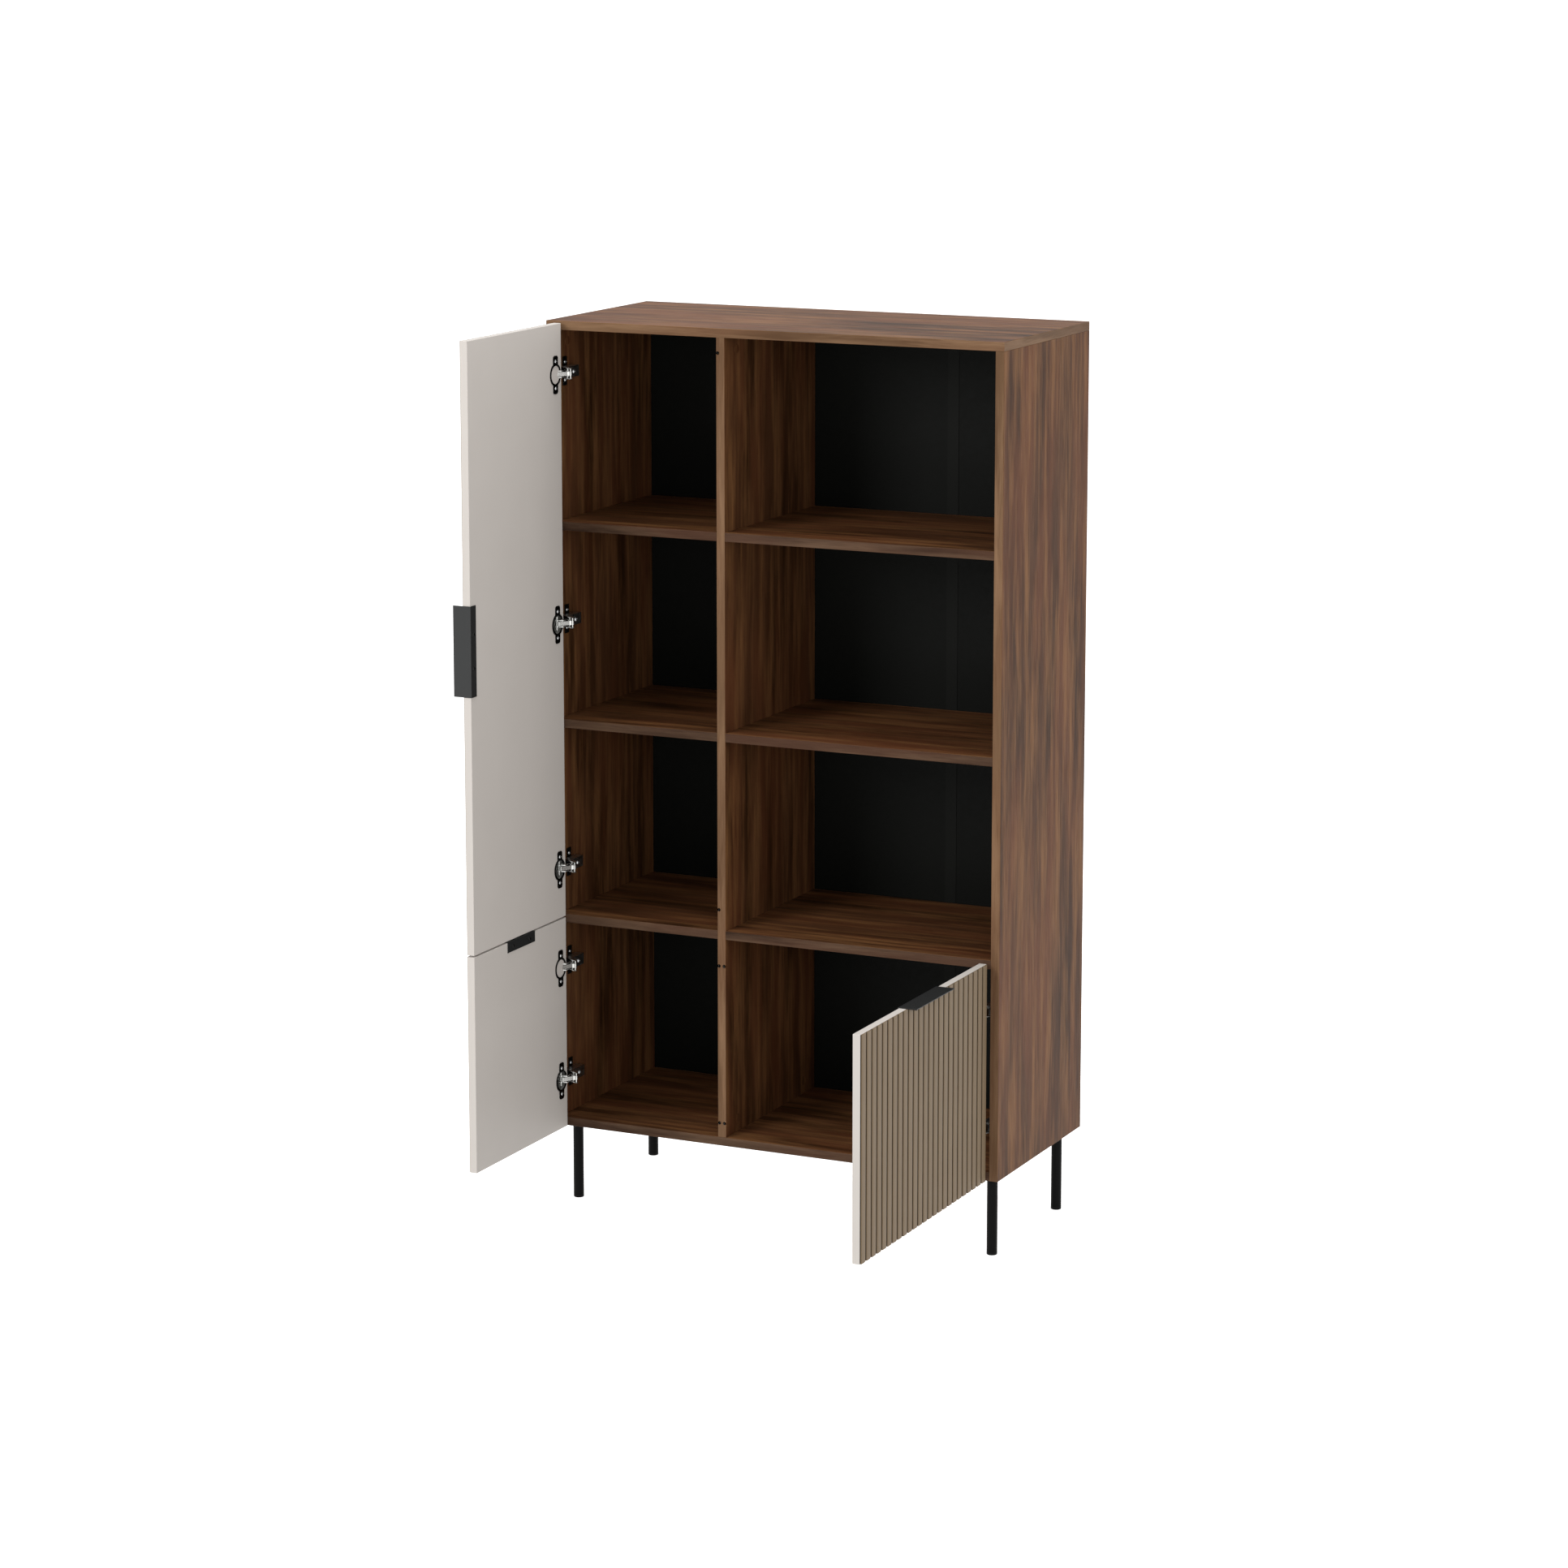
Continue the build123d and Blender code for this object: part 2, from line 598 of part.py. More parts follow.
def edge_handle(side, door_size, length, on_free_edge, z0, z1):
    """Folded strip: a flange on the back, a web over the edge and on past the front as a lip."""
    half = length / 2
    middle = (z0 + z1) / 2
    offsets = (-handle_screws_offset, handle_screws_offset)
    if on_free_edge:
        flange_s = (door_size - handle_flange, door_size + handle_skin)
        flange_z = (middle - half, middle + half)
        web_s = (door_size, door_size + handle_skin)
        web_z = flange_z
        screws = [(door_size - handle_flange / 2, middle + d) for d in offsets]
    else:
        flange_s = (door_size / 2 - half, door_size / 2 + half)
        flange_z = (z1 - handle_flange, z1 + handle_skin)
        web_s = flange_s
        web_z = (z1, z1 + handle_skin)
        screws = [(door_size / 2 + d, z1 - handle_flange / 2) for d in offsets]
    u_back, _ = door_point(0, -handle_skin)
    u_face, _ = door_point(0, 0)
    u_lip, _ = door_point(0, door_thick + handle_lip)
    v = [door_point(s, 0)[1] for s in flange_s]
    flange = side.cube(u_face, u_back, v[0], v[1], *flange_z)
    v = [door_point(s, 0)[1] for s in web_s]
    web_part = side.cube(u_lip, u_back, v[0], v[1], *web_z)
    solid = flange + web_part
    shanks = []
    for s, z in screws:
        hole = cup_rod(side, s, -handle_skin, handle_screw_length, z, handle_screw_radius + fit_play)
        solid = solid - hole
        shank = cup_rod(side, s, -handle_skin, handle_screw_length, z, handle_screw_radius)
        radius, height = handle_screw_head
        head = cup_rod(side, s, -handle_skin - height, -handle_skin, z, radius)
        shanks.append((shank + head, hole))
    return solid, shanks


doors = {
    "tall": (Side(-1), left_door, z_tall_door, z_tall_door_top, long_handle, True, 3),
    "lower_left": (Side(-1), left_door, z_low_door, z_low_door_top, short_handle, False, 2),
    "lower_right": (Side(1), right_door, z_low_door, z_low_door_top, long_handle, False, 2),
}
plate_screws = []
arm_screws = []
pins_on_arms = []
for name, (side, size, z0, z1, handle_length, on_free_edge, hinges) in doors.items():
    span = z1 - z0 - 2 * hinge_end
    heights = [z0 + hinge_end + span * i / (hinges - 1) for i in range(hinges)]
    side_board = "left_side_panel" if side.sign < 0 else "right_side_panel"
    panel = door_panel(side, size, z0, z1)
    handle, screws = edge_handle(side, size, handle_length, on_free_edge, z0, z1)
    panel = cut(panel, [hole for _, hole in screws])
    cup_screws = []
    for z in heights:
        panel = panel - cup_rod(side, cup_middle, 0.0, cup_deep, z, cup_radius)
        for dz in (-cup_screw_offset, cup_screw_offset):
            cup_screws.append(cup_screw(side, z + dz))
            panel = panel - cup_screw(side, z + dz, fit_play)
        for dz in (-plate_spacing / 2, plate_spacing / 2):
            plate_screws.append(plate_screw(side, z + dz))
            boards[side_board] = boards[side_board] - plate_screw(side, z + dz, fit_play)
        arm_screws.append(arm_screw(side, z))
        pins_on_arms.extend(arm_pins(side, z))
    parts[f"{name}_door_panel"] = panel
    parts[f"{name}_door_handle"] = handle
    parts[f"{name}_door_handle_screws"] = together([shank for shank, _ in screws])
    parts[f"{name}_door_hinge_cups"] = together([hinge_cup(side, z) for z in heights])
    parts[f"{name}_door_cup_screws"] = together(cup_screws)
    parts[f"{name}_door_cup_pins"] = together(
        [side.disc(cup_pin_open, pin_radius, z - cup_pin_half, z + cup_pin_half) for z in heights]
    )
    parts[f"{name}_door_outer_links"] = together([outer_links(side, z) for z in heights])
    parts[f"{name}_door_inner_links"] = together([inner_link(side, z) for z in heights])
    parts[f"{name}_door_hinge_arms"] = together([arm(side, z) for z in heights])
    parts[f"{name}_door_mounting_plates"] = together([mounting_plate(side, z) for z in heights])
parts["mounting_plate_screws"] = together(plate_screws)
parts["arm_screws"] = together(arm_screws)
parts["hinge_arm_pins"] = together(pins_on_arms)

# --- door bumpers on the front edges of the boards ------------------------------------------------
bumper_radius = 3.0
bumper_thick = 2.7
bumper_left = divider_mid - 5.0
bumper_right = divider_mid + 5.0
bumper_end = 40.0        # middle of a bumper to the end of its door
bumper_low_top = 60.0    # the same at the top of the low doors, clear of the shelf
bumpers = []
for x, z in (
    (bumper_left, z_tall_door + bumper_end),
    (bumper_left, z_tall_door_top - bumper_end),
    (bumper_left, z_low_door + bumper_end),
    (bumper_right, z_low_door + bumper_end),
    (bumper_left, z_low_door_top - bumper_low_top),
    (bumper_right, z_low_door_top - bumper_low_top),
):
    bumpers.append(rod((x, y_front, z), (0, -1, 0), bumper_radius, bumper_thick))
parts["door_bumpers"] = together(bumpers)

parts.update(boards)

os.makedirs("parts", exist_ok=True)
for name, shape in parts.items():
    shape.label = name
    export_step(shape, f"parts/{name}.step")
print(len(parts), "parts")
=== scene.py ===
import math

import bmesh
import bpy
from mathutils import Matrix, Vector


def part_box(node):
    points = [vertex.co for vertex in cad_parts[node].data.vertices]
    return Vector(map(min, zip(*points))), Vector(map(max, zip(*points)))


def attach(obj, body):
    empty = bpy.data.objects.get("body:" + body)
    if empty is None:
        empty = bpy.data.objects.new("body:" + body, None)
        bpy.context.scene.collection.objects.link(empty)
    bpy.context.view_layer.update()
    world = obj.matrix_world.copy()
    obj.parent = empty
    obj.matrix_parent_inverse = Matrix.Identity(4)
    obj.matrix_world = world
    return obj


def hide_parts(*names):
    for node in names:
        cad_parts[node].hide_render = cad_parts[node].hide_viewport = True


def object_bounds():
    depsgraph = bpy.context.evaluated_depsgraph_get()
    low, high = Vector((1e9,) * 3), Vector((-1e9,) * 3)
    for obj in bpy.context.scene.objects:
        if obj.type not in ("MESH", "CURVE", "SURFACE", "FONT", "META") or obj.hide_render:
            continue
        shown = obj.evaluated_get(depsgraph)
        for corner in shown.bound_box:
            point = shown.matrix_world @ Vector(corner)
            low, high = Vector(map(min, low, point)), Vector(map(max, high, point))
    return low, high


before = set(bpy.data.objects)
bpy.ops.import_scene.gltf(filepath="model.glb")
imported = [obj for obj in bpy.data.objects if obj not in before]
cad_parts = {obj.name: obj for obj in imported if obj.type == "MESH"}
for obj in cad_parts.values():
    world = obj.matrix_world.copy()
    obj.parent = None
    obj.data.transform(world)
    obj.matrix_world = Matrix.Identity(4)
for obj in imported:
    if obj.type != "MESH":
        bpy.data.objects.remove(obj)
cad_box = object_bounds()
scene = bpy.context.scene

# --- Studio ---------------------------------------------------------------------------------------
# A pale seamless floor under even white light, with a large soft panel in front of the unit and
# a weaker one to its right. The camera stands well above the top and looks down on it a little.


def linear(hex_code):
    """A screen colour as the linear values that the shaders work in."""
    shares = [int(hex_code[i : i + 2], 16) / 255 for i in (1, 3, 5)]
    return [v / 12.92 if v <= 0.04045 else ((v + 0.055) / 1.055) ** 2.4 for v in shares] + [1.0]


def add(tree, kind, settings, inputs):
    """Adds a node; each input is a value or the output that feeds it."""
    made = tree.nodes.new(kind)
    for key, value in settings.items():
        setattr(made, key, value)
    for key, value in inputs.items():
        if isinstance(value, bpy.types.NodeSocket):
            tree.links.new(value, made.inputs[key])
        else:
            made.inputs[key].default_value = value
    return made


def new_finish(name):
    """An empty material and its tree, with the output node in place."""
    finish = bpy.data.materials.new(name)
    finish.use_nodes = True
    tree = finish.node_tree
    tree.nodes.clear()
    return finish, tree


def new_piece(name, mesh, *finishes):
    """A mesh as an object at the origin, wearing the given finishes."""
    piece = bpy.data.objects.new(name, mesh)
    scene.collection.objects.link(piece)
    for finish in finishes:
        mesh.materials.append(finish)
    return piece


# Painted studio floor, matt, so it gives no mirror image of the legs.
studio_paint, tree = new_finish("studio_floor_paint")
speckle = add(tree, "ShaderNodeTexNoise", {}, {"Scale": 3.0, "Detail": 2.0})
shade = add(
    tree, "ShaderNodeMix", {"data_type": "RGBA"},
    {0: speckle.outputs[0], 6: linear("#f6f6f6"), 7: linear("#f9f9f9")},
)
paint = add(
    tree, "ShaderNodeBsdfPrincipled", {},
    {
        "Base Color": shade.outputs[2], "Roughness": 0.9,
        "Emission Color": linear("#ffffff"), "Emission Strength": 0.75,
    },
)
add(tree, "ShaderNodeOutputMaterial", {}, {"Surface": paint.outputs[0]})

floor_reach = 150.0
floor_corners = [(x * floor_reach, y * floor_reach, 0.0) for x, y in ((-1, -1), (1, -1), (1, 1), (-1, 1))]
floor_mesh = bpy.data.meshes.new("studio_floor")
floor_mesh.from_pydata(floor_corners, [], [(0, 1, 2, 3)])
studio_floor = new_piece("studio_floor", floor_mesh, studio_paint)
# The floor is seen and takes shadows, but throws no glare up at the unit.
studio_floor.visible_diffuse = False

world = bpy.data.worlds.new("studio_air")
world.use_nodes = True
air = world.node_tree.nodes["Background"]
air.inputs["Color"].default_value = linear("#ffffff")
air.inputs["Strength"].default_value = 0.78
scene.world = world
scene.view_settings.view_transform = "Standard"

for name, place, aim, size, power in (
    ("front_left_panel", (-2.2, -5.4, 3.4), (0.0, 0.0, 0.8), 2.0, 190.0),
    ("right_panel", (5.4, -0.4, 2.6), (0.0, 0.0, 0.8), 2.4, 72.0),
    ("front_right_fill", (3.0, -5.6, 1.8), (0.0, 0.0, 0.8), 2.0, 70.0),
    ("overhead_panel", (0.0, 0.2, 5.0), (0.0, 0.2, 1.0), 2.0, 85.0),
):
    lamp = bpy.data.lights.new(name, "AREA")
    lamp.size = size
    lamp.energy = power
    lit = bpy.data.objects.new(name, lamp)
    lit.location = place
    lit.rotation_euler = (Vector(aim) - Vector(place)).to_track_quat("-Z", "Y").to_euler()
    scene.collection.objects.link(lit)

lens = bpy.data.cameras.new("camera")
lens.lens = 103.89
lens.sensor_width = 36.0
lens.shift_y = -0.08
lens.clip_end = 400.0
camera = bpy.data.objects.new("camera", lens)
camera.location = (3.364, -6.991, 2.424)
camera.rotation_euler = (math.radians(80.0), 0.0, math.radians(25.283))
scene.collection.objects.link(camera)
scene.camera = camera

# --- Carcass boards -------------------------------------------------------------------------------
# Chipboard 16 mm thick, faced with walnut-print melamine paper and edged with a lighter band.
# The grain runs the long way of each board; the top board lies over both sides.


def walnut(name, dark, middle, light, warm, roughness):
    """Walnut print under a satin melamine film: broad bands, streaks, flecks and thin pores."""
    finish, tree = new_finish(name)
    flat = add(tree, "ShaderNodeUVMap", {"uv_map": "grain"}, {}).outputs[0]
    # The grain wanders sideways by up to 6 mm along the board.
    swung = add(tree, "ShaderNodeMapping", {}, {"Vector": flat, "Scale": (6.0, 2.2, 1.0)}).outputs[0]
    swing = add(tree, "ShaderNodeTexNoise", {}, {"Vector": swung, "Scale": 1.0, "Detail": 2.0})
    aside = add(tree, "ShaderNodeMapRange", {}, {0: swing.outputs[0], 3: -0.012, 4: 0.012})
    sideways = add(tree, "ShaderNodeCombineXYZ", {}, {"X": aside.outputs[0]}).outputs[0]
    place = add(tree, "ShaderNodeVectorMath", {"operation": "ADD"}, {0: flat, 1: sideways}).outputs[0]
    # Bands about 70 mm wide and 650 mm long.
    banded = add(tree, "ShaderNodeMapping", {}, {"Vector": place, "Scale": (14.0, 1.5, 1.0)}).outputs[0]
    bands = add(
        tree, "ShaderNodeTexNoise", {}, {"Vector": banded, "Scale": 1.0, "Detail": 4.0, "Roughness": 0.62}
    )
    # Streaks about 22 mm wide and 330 mm long.
    streaked = add(tree, "ShaderNodeMapping", {}, {"Vector": place, "Scale": (46.0, 3.0, 1.0)}).outputs[0]
    streaks = add(
        tree, "ShaderNodeTexNoise", {}, {"Vector": streaked, "Scale": 1.0, "Detail": 5.0, "Roughness": 0.62}
    )
    # Dark flecks 7 mm wide and about 90 mm long, few of them.
    flecked = add(
        tree, "ShaderNodeMapping", {},
        {"Vector": place, "Location": (3.1, 7.7, 0.0), "Scale": (150.0, 11.0, 1.0)},
    ).outputs[0]
    flecks = add(tree, "ShaderNodeTexNoise", {}, {"Vector": flecked, "Scale": 1.0, "Detail": 2.0})
    # Pores are 0.2 mm wide on the real print; they are drawn 1.5 mm wide so that they show.
    pored = add(tree, "ShaderNodeMapping", {}, {"Vector": place, "Scale": (650.0, 22.0, 1.0)}).outputs[0]
    pores = add(tree, "ShaderNodeTexNoise", {}, {"Vector": pored, "Scale": 1.0, "Detail": 2.0})
    # Reddish patches some 60 mm wide.
    patched = add(
        tree, "ShaderNodeMapping", {},
        {"Vector": place, "Location": (5.3, 1.9, 0.0), "Scale": (17.0, 2.4, 1.0)},
    ).outputs[0]
    patches = add(tree, "ShaderNodeTexNoise", {}, {"Vector": patched, "Scale": 1.0, "Detail": 3.0})
    # How much of the next colour each pattern lets through, between two noise levels.
    shares = []
    for pattern, start, full, most in (
        (bands, 0.38, 0.6, 1.0), (patches, 0.44, 0.62, 0.6), (streaks, 0.45, 0.68, 0.9),
        (flecks, 0.62, 0.8, 0.5), (pores, 0.5, 0.78, 0.38),
    ):
        shares.append(
            add(tree, "ShaderNodeMapRange", {}, {0: pattern.outputs[0], 1: start, 2: full, 3: 0.0, 4: most})
        )
    tone = add(
        tree, "ShaderNodeMix", {"data_type": "RGBA"},
        {0: shares[0].outputs[0], 6: linear(dark), 7: linear(middle)},
    )
    for share, hue in zip(shares[1:], (warm, light, dark, dark)):
        tone = add(
            tree, "ShaderNodeMix", {"data_type": "RGBA"},
            {0: share.outputs[0], 6: tone.outputs[2], 7: linear(hue)},
        )
    film = add(
        tree, "ShaderNodeMapRange", {},
        {0: pores.outputs[0], 1: 0.3, 2: 0.8, 3: roughness - 0.05, 4: roughness + 0.1},
    )
    relief = add(
        tree, "ShaderNodeBump", {}, {"Height": pores.outputs[0], "Distance": 0.0002, "Strength": 0.25}
    )
    body = add(
        tree, "ShaderNodeBsdfPrincipled", {},
        {
            "Base Color": tone.outputs[2], "Roughness": film.outputs[0], "Normal": relief.outputs[0],
            "Specular IOR Level": 0.04,
        },
    )
    add(tree, "ShaderNodeOutputMaterial", {}, {"Surface": body.outputs[0]})
    return finish


# The faces are the full print; the bands on the edges are a flatter, greyer print of it.
walnut_face = walnut("walnut_melamine", "#352011", "#553723", "#7d5736", "#663d26", 0.42)
walnut_band_upright = walnut("walnut_edge_band_upright", "#523b29", "#6b523c", "#83664d", "#6d4f3a", 0.4)
walnut_band_level = walnut("walnut_edge_band_level", "#2f2118", "#49362a", "#5d4838", "#4e3528", 0.4)


def smooth_roundings(mesh):
    """Shades the rounded edges smooth and leaves the flat faces flat."""
    for face in mesh.polygons:
        face.use_smooth = max(abs(k) for k in face.normal) < 0.999


def soft_box(name, low, high, rounding, segments=2):
    """A closed box with every edge rounded over."""
    shell = bmesh.new()
    corners = [
        shell.verts.new([(low, high)[i][0], (low, high)[j][1], (low, high)[k][2]])
        for i in (0, 1) for j in (0, 1) for k in (0, 1)
    ]
    for side in ((0, 1, 3, 2), (4, 6, 7, 5), (0, 4, 5, 1), (2, 3, 7, 6), (0, 2, 6, 4), (1, 5, 7, 3)):
        shell.faces.new([corners[i] for i in side])
    bmesh.ops.bevel(
        shell, geom=shell.edges[:], offset=rounding, segments=segments, profile=0.5, affect="EDGES"
    )
    bmesh.ops.recalc_face_normals(shell, faces=shell.faces[:])
    mesh = bpy.data.meshes.new(name)
    shell.to_mesh(mesh)
    shell.free()
    smooth_roundings(mesh)
    return mesh


def lay_grain(mesh, along, shift):
    """A UV map in metres with V along the grain, moved so that no two boards match."""
    u_step, v_step, turned_step = 0.37, 1.3, 0.11
    layer = mesh.uv_layers.new(name="grain")
    for face in mesh.polygons:
        facing = max(range(3), key=lambda k: abs(face.normal[k]))
        v_axis = 1 if facing == along else along
        u_axis = 3 - facing - v_axis
        for corner in face.loop_indices:
            point = mesh.vertices[mesh.loops[corner].vertex_index].co
            layer.data[corner].uv = (
                point[u_axis] + u_step * shift + turned_step * facing, point[v_axis] + v_step * shift
            )


x_axis, y_axis, z_axis = 0, 1, 2
board_grain = {
    "top_panel": x_axis, "bottom_panel": x_axis,
    "left_side_panel": z_axis, "right_side_panel": z_axis, "centre_divider": z_axis,
}
for side in ("left", "right"):
    for level in ("lower", "middle", "upper"):
        board_grain[f"{side}_shelf_{level}"] = x_axis
band_rounding = 0.0006
for number, (node, along) in enumerate(board_grain.items()):
    low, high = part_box(node)
    mesh = soft_box(f"{node}_board", low, high, band_rounding)
    lay_grain(mesh, along, number + 1)
    band = walnut_band_upright if along == z_axis or node == "top_panel" else walnut_band_level
    piece = new_piece(f"{node}_board", mesh, walnut_face, band)
    for face in mesh.polygons:
        banded = abs(face.normal.y) > 0.6 or abs(face.normal[along]) > 0.6
        face.material_index = 1 if banded else 0
    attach(piece, "carcass")
    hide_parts(node)

# --- Back sheets and joint strip ------------------------------------------------------------------
# Three sheets of 3 mm hardboard slid into a groove, lacquered matt black. A black plastic strip
# with two flanges holds the edges of the right-hand pair together.

# Lacquered hardboard: nearly black, with the faint mottled sheen of pressed fibres.
black_hardboard, tree = new_finish("black_lacquered_hardboard")
place = add(tree, "ShaderNodeTexCoord", {}, {}).outputs["Object"]
# Fibre clumps of about 8 mm, and a grit of 1.5 mm.
clumps = add(tree, "ShaderNodeTexNoise", {}, {"Vector": place, "Scale": 120.0, "Detail": 3.0})
grit = add(tree, "ShaderNodeTexNoise", {}, {"Vector": place, "Scale": 650.0, "Detail": 2.0})
tone = add(
    tree, "ShaderNodeMix", {"data_type": "RGBA"},
    {0: clumps.outputs[0], 6: linear("#030402"), 7: linear("#080906")},
)
sheen = add(tree, "ShaderNodeMapRange", {}, {0: clumps.outputs[0], 3: 0.5, 4: 0.66})
relief = add(tree, "ShaderNodeBump", {}, {"Height": grit.outputs[0], "Distance": 0.0002, "Strength": 0.3})
body = add(
    tree, "ShaderNodeBsdfPrincipled", {},
    {
        "Base Color": tone.outputs[2], "Roughness": sheen.outputs[0], "Normal": relief.outputs[0],
        "Specular IOR Level": 0.1,
    },
)
add(tree, "ShaderNodeOutputMaterial", {}, {"Surface": body.outputs[0]})

sheet_rounding = 0.0003
for part in ("left", "middle", "right"):
    low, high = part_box(f"back_panel_{part}")
    name = f"back_sheet_{part}"
    piece = new_piece(name, soft_box(name, low, high, sheet_rounding), black_hardboard)
    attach(piece, "carcass")
    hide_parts(f"back_panel_{part}")


def plastic(name, colour, roughness, gloss):
    """Moulded or extruded plastic with a fine, even texture."""
    finish, tree = new_finish(name)
    place = add(tree, "ShaderNodeTexCoord", {}, {}).outputs["Object"]
    # The texture is about 0.4 mm fine, and drawn at 1 mm so that it shows.
    grain = add(tree, "ShaderNodeTexNoise", {}, {"Vector": place, "Scale": 1000.0, "Detail": 1.0})
    sheen = add(
        tree, "ShaderNodeMapRange", {},
        {0: grain.outputs[0], 3: roughness - 0.06, 4: roughness + 0.06},
    )
    relief = add(
        tree, "ShaderNodeBump", {}, {"Height": grain.outputs[0], "Distance": 0.0001, "Strength": 0.2}
    )
    body = add(
        tree, "ShaderNodeBsdfPrincipled", {},
        {
            "Base Color": linear(colour), "Roughness": sheen.outputs[0], "Normal": relief.outputs[0],
            "Specular IOR Level": gloss,
        },
    )
    add(tree, "ShaderNodeOutputMaterial", {}, {"Surface": body.outputs[0]})
    return finish


# Extruded PVC: black, a touch shinier than the lacquered sheets beside it.
black_pvc = plastic("black_extruded_pvc", "#080906", 0.6, 0.12)


def dress(node, finish):
    """Gives a CAD node's own mesh a finish."""
    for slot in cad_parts[node].material_slots:
        slot.material = finish


dress("back_joint_strip", black_pvc)

# --- Doors ----------------------------------------------------------------------------------------
# MDF boards 16 mm thick in matt foil. The front is milled with upright grooves, which leaves
# rounded ribs about 21 mm apart; the back is flat and bored for the hinge cups.


def foil(name, colour, shadow, roughness):
    """Matt foil pressed over MDF: almost even, with a soft orange peel."""
    finish, tree = new_finish(name)
    place = add(tree, "ShaderNodeTexCoord", {}, {}).outputs["Object"]
    # Drift of tone over about 80 mm, and orange peel of 2 mm.
    drift = add(tree, "ShaderNodeTexNoise", {}, {"Vector": place, "Scale": 12.0, "Detail": 2.0})
    peel = add(tree, "ShaderNodeTexNoise", {}, {"Vector": place, "Scale": 500.0, "Detail": 1.0})
    tone = add(
        tree, "ShaderNodeMix", {"data_type": "RGBA"},
        {0: drift.outputs[0], 6: linear(shadow), 7: linear(colour)},
    )
    sheen = add(
        tree, "ShaderNodeMapRange", {},
        {0: peel.outputs[0], 3: roughness - 0.04, 4: roughness + 0.04},
    )
    relief = add(
        tree, "ShaderNodeBump", {}, {"Height": peel.outputs[0], "Distance": 0.0001, "Strength": 0.12}
    )
    body = add(
        tree, "ShaderNodeBsdfPrincipled", {},
        {
            "Base Color": tone.outputs[2], "Roughness": sheen.outputs[0], "Normal": relief.outputs[0],
            "Specular IOR Level": 0.2,
        },
    )
    add(tree, "ShaderNodeOutputMaterial", {}, {"Surface": body.outputs[0]})
    return finish


# Backs and edges are a pale greige; the ribs are darker, and the groove floors carry a darker copy of the rib
# foil as painted shade down in the grooves.
greige_foil = foil("greige_foil_on_mdf", "#c0bab4", "#bcb6b0", 0.5)
cashmere_foil = foil("cashmere_foil_on_ribs", "#74634d", "#6e5d48", 0.55)
# Painted shade: the same cashmere foil made darker for the floors of the grooves.
groove_shade_foil = foil("cashmere_foil_painted_groove_shade", "#40362b", "#3a3127", 0.65)

rib_tree = bpy.data.node_groups.new("upright_ribs", "GeometryNodeTree")
rib_tree.interface.new_socket("Geometry", in_out="INPUT", socket_type="NodeSocketGeometry")
rib_input = {}
for label, kind in (
    ("Count", "NodeSocketInt"), ("First Rib", "NodeSocketVector"), ("Pitch", "NodeSocketFloat"),
    ("Foot Width", "NodeSocketFloat"), ("Crest Width", "NodeSocketFloat"), ("Relief", "NodeSocketFloat"),
    ("Rounding", "NodeSocketFloat"), ("Length", "NodeSocketFloat"), ("Turn", "NodeSocketFloat"),
    ("Finish", "NodeSocketMaterial"),
):
    rib_input[label] = rib_tree.interface.new_socket(label, in_out="INPUT", socket_type=kind).identifier
rib_tree.interface.new_socket("Geometry", in_out="OUTPUT", socket_type="NodeSocketGeometry")
given = add(rib_tree, "NodeGroupInput", {}, {}).outputs
step = add(rib_tree, "ShaderNodeCombineXYZ", {}, {"Y": given["Pitch"]})
row = add(
    rib_tree, "GeometryNodeMeshLine", {"mode": "OFFSET", "count_mode": "TOTAL"},
    {"Count": given["Count"], "Start Location": given["First Rib"], "Offset": step.outputs[0]},
)
outline = add(
    rib_tree, "GeometryNodeCurvePrimitiveQuadrilateral", {"mode": "TRAPEZOID"},
    {
        "Height": given["Relief"], "Bottom Width": given["Foot Width"], "Top Width": given["Crest Width"],
        "Offset": 0.0,
    },
)
rounded = add(
    rib_tree, "GeometryNodeFilletCurve", {"mode": "POLY"},
    {"Curve": outline.outputs[0], "Count": 3, "Radius": given["Rounding"], "Limit Radius": True},
)
filled = add(rib_tree, "GeometryNodeFillCurve", {"mode": "NGONS"}, {"Curve": rounded.outputs[0]})
rise = add(rib_tree, "ShaderNodeCombineXYZ", {}, {"Z": given["Length"]})
walls = add(
    rib_tree, "GeometryNodeExtrudeMesh", {"mode": "FACES"},
    {"Mesh": filled.outputs[0], "Offset": rise.outputs[0], "Offset Scale": 1.0},
)
under = add(rib_tree, "GeometryNodeFlipFaces", {}, {"Mesh": filled.outputs[0]})
joined = add(rib_tree, "GeometryNodeJoinGeometry", {}, {})
rib_tree.links.new(walls.outputs["Mesh"], joined.inputs[0])
rib_tree.links.new(under.outputs[0], joined.inputs[0])
closed = add(
    rib_tree, "GeometryNodeMergeByDistance", {}, {"Geometry": joined.outputs[0], "Distance": 0.00001}
)
turn = add(rib_tree, "ShaderNodeCombineXYZ", {}, {"Z": given["Turn"]})
placed = add(
    rib_tree, "GeometryNodeInstanceOnPoints", {},
    {"Points": row.outputs[0], "Instance": closed.outputs[0], "Rotation": turn.outputs[0]},
)
real = add(rib_tree, "GeometryNodeRealizeInstances", {}, {"Geometry": placed.outputs[0]})
worn = add(
    rib_tree, "GeometryNodeSetMaterial", {}, {"Geometry": real.outputs[0], "Material": given["Finish"]}
)
add(rib_tree, "NodeGroupOutput", {}, {0: worn.outputs[0]})


grown_crease = math.radians(40.0)


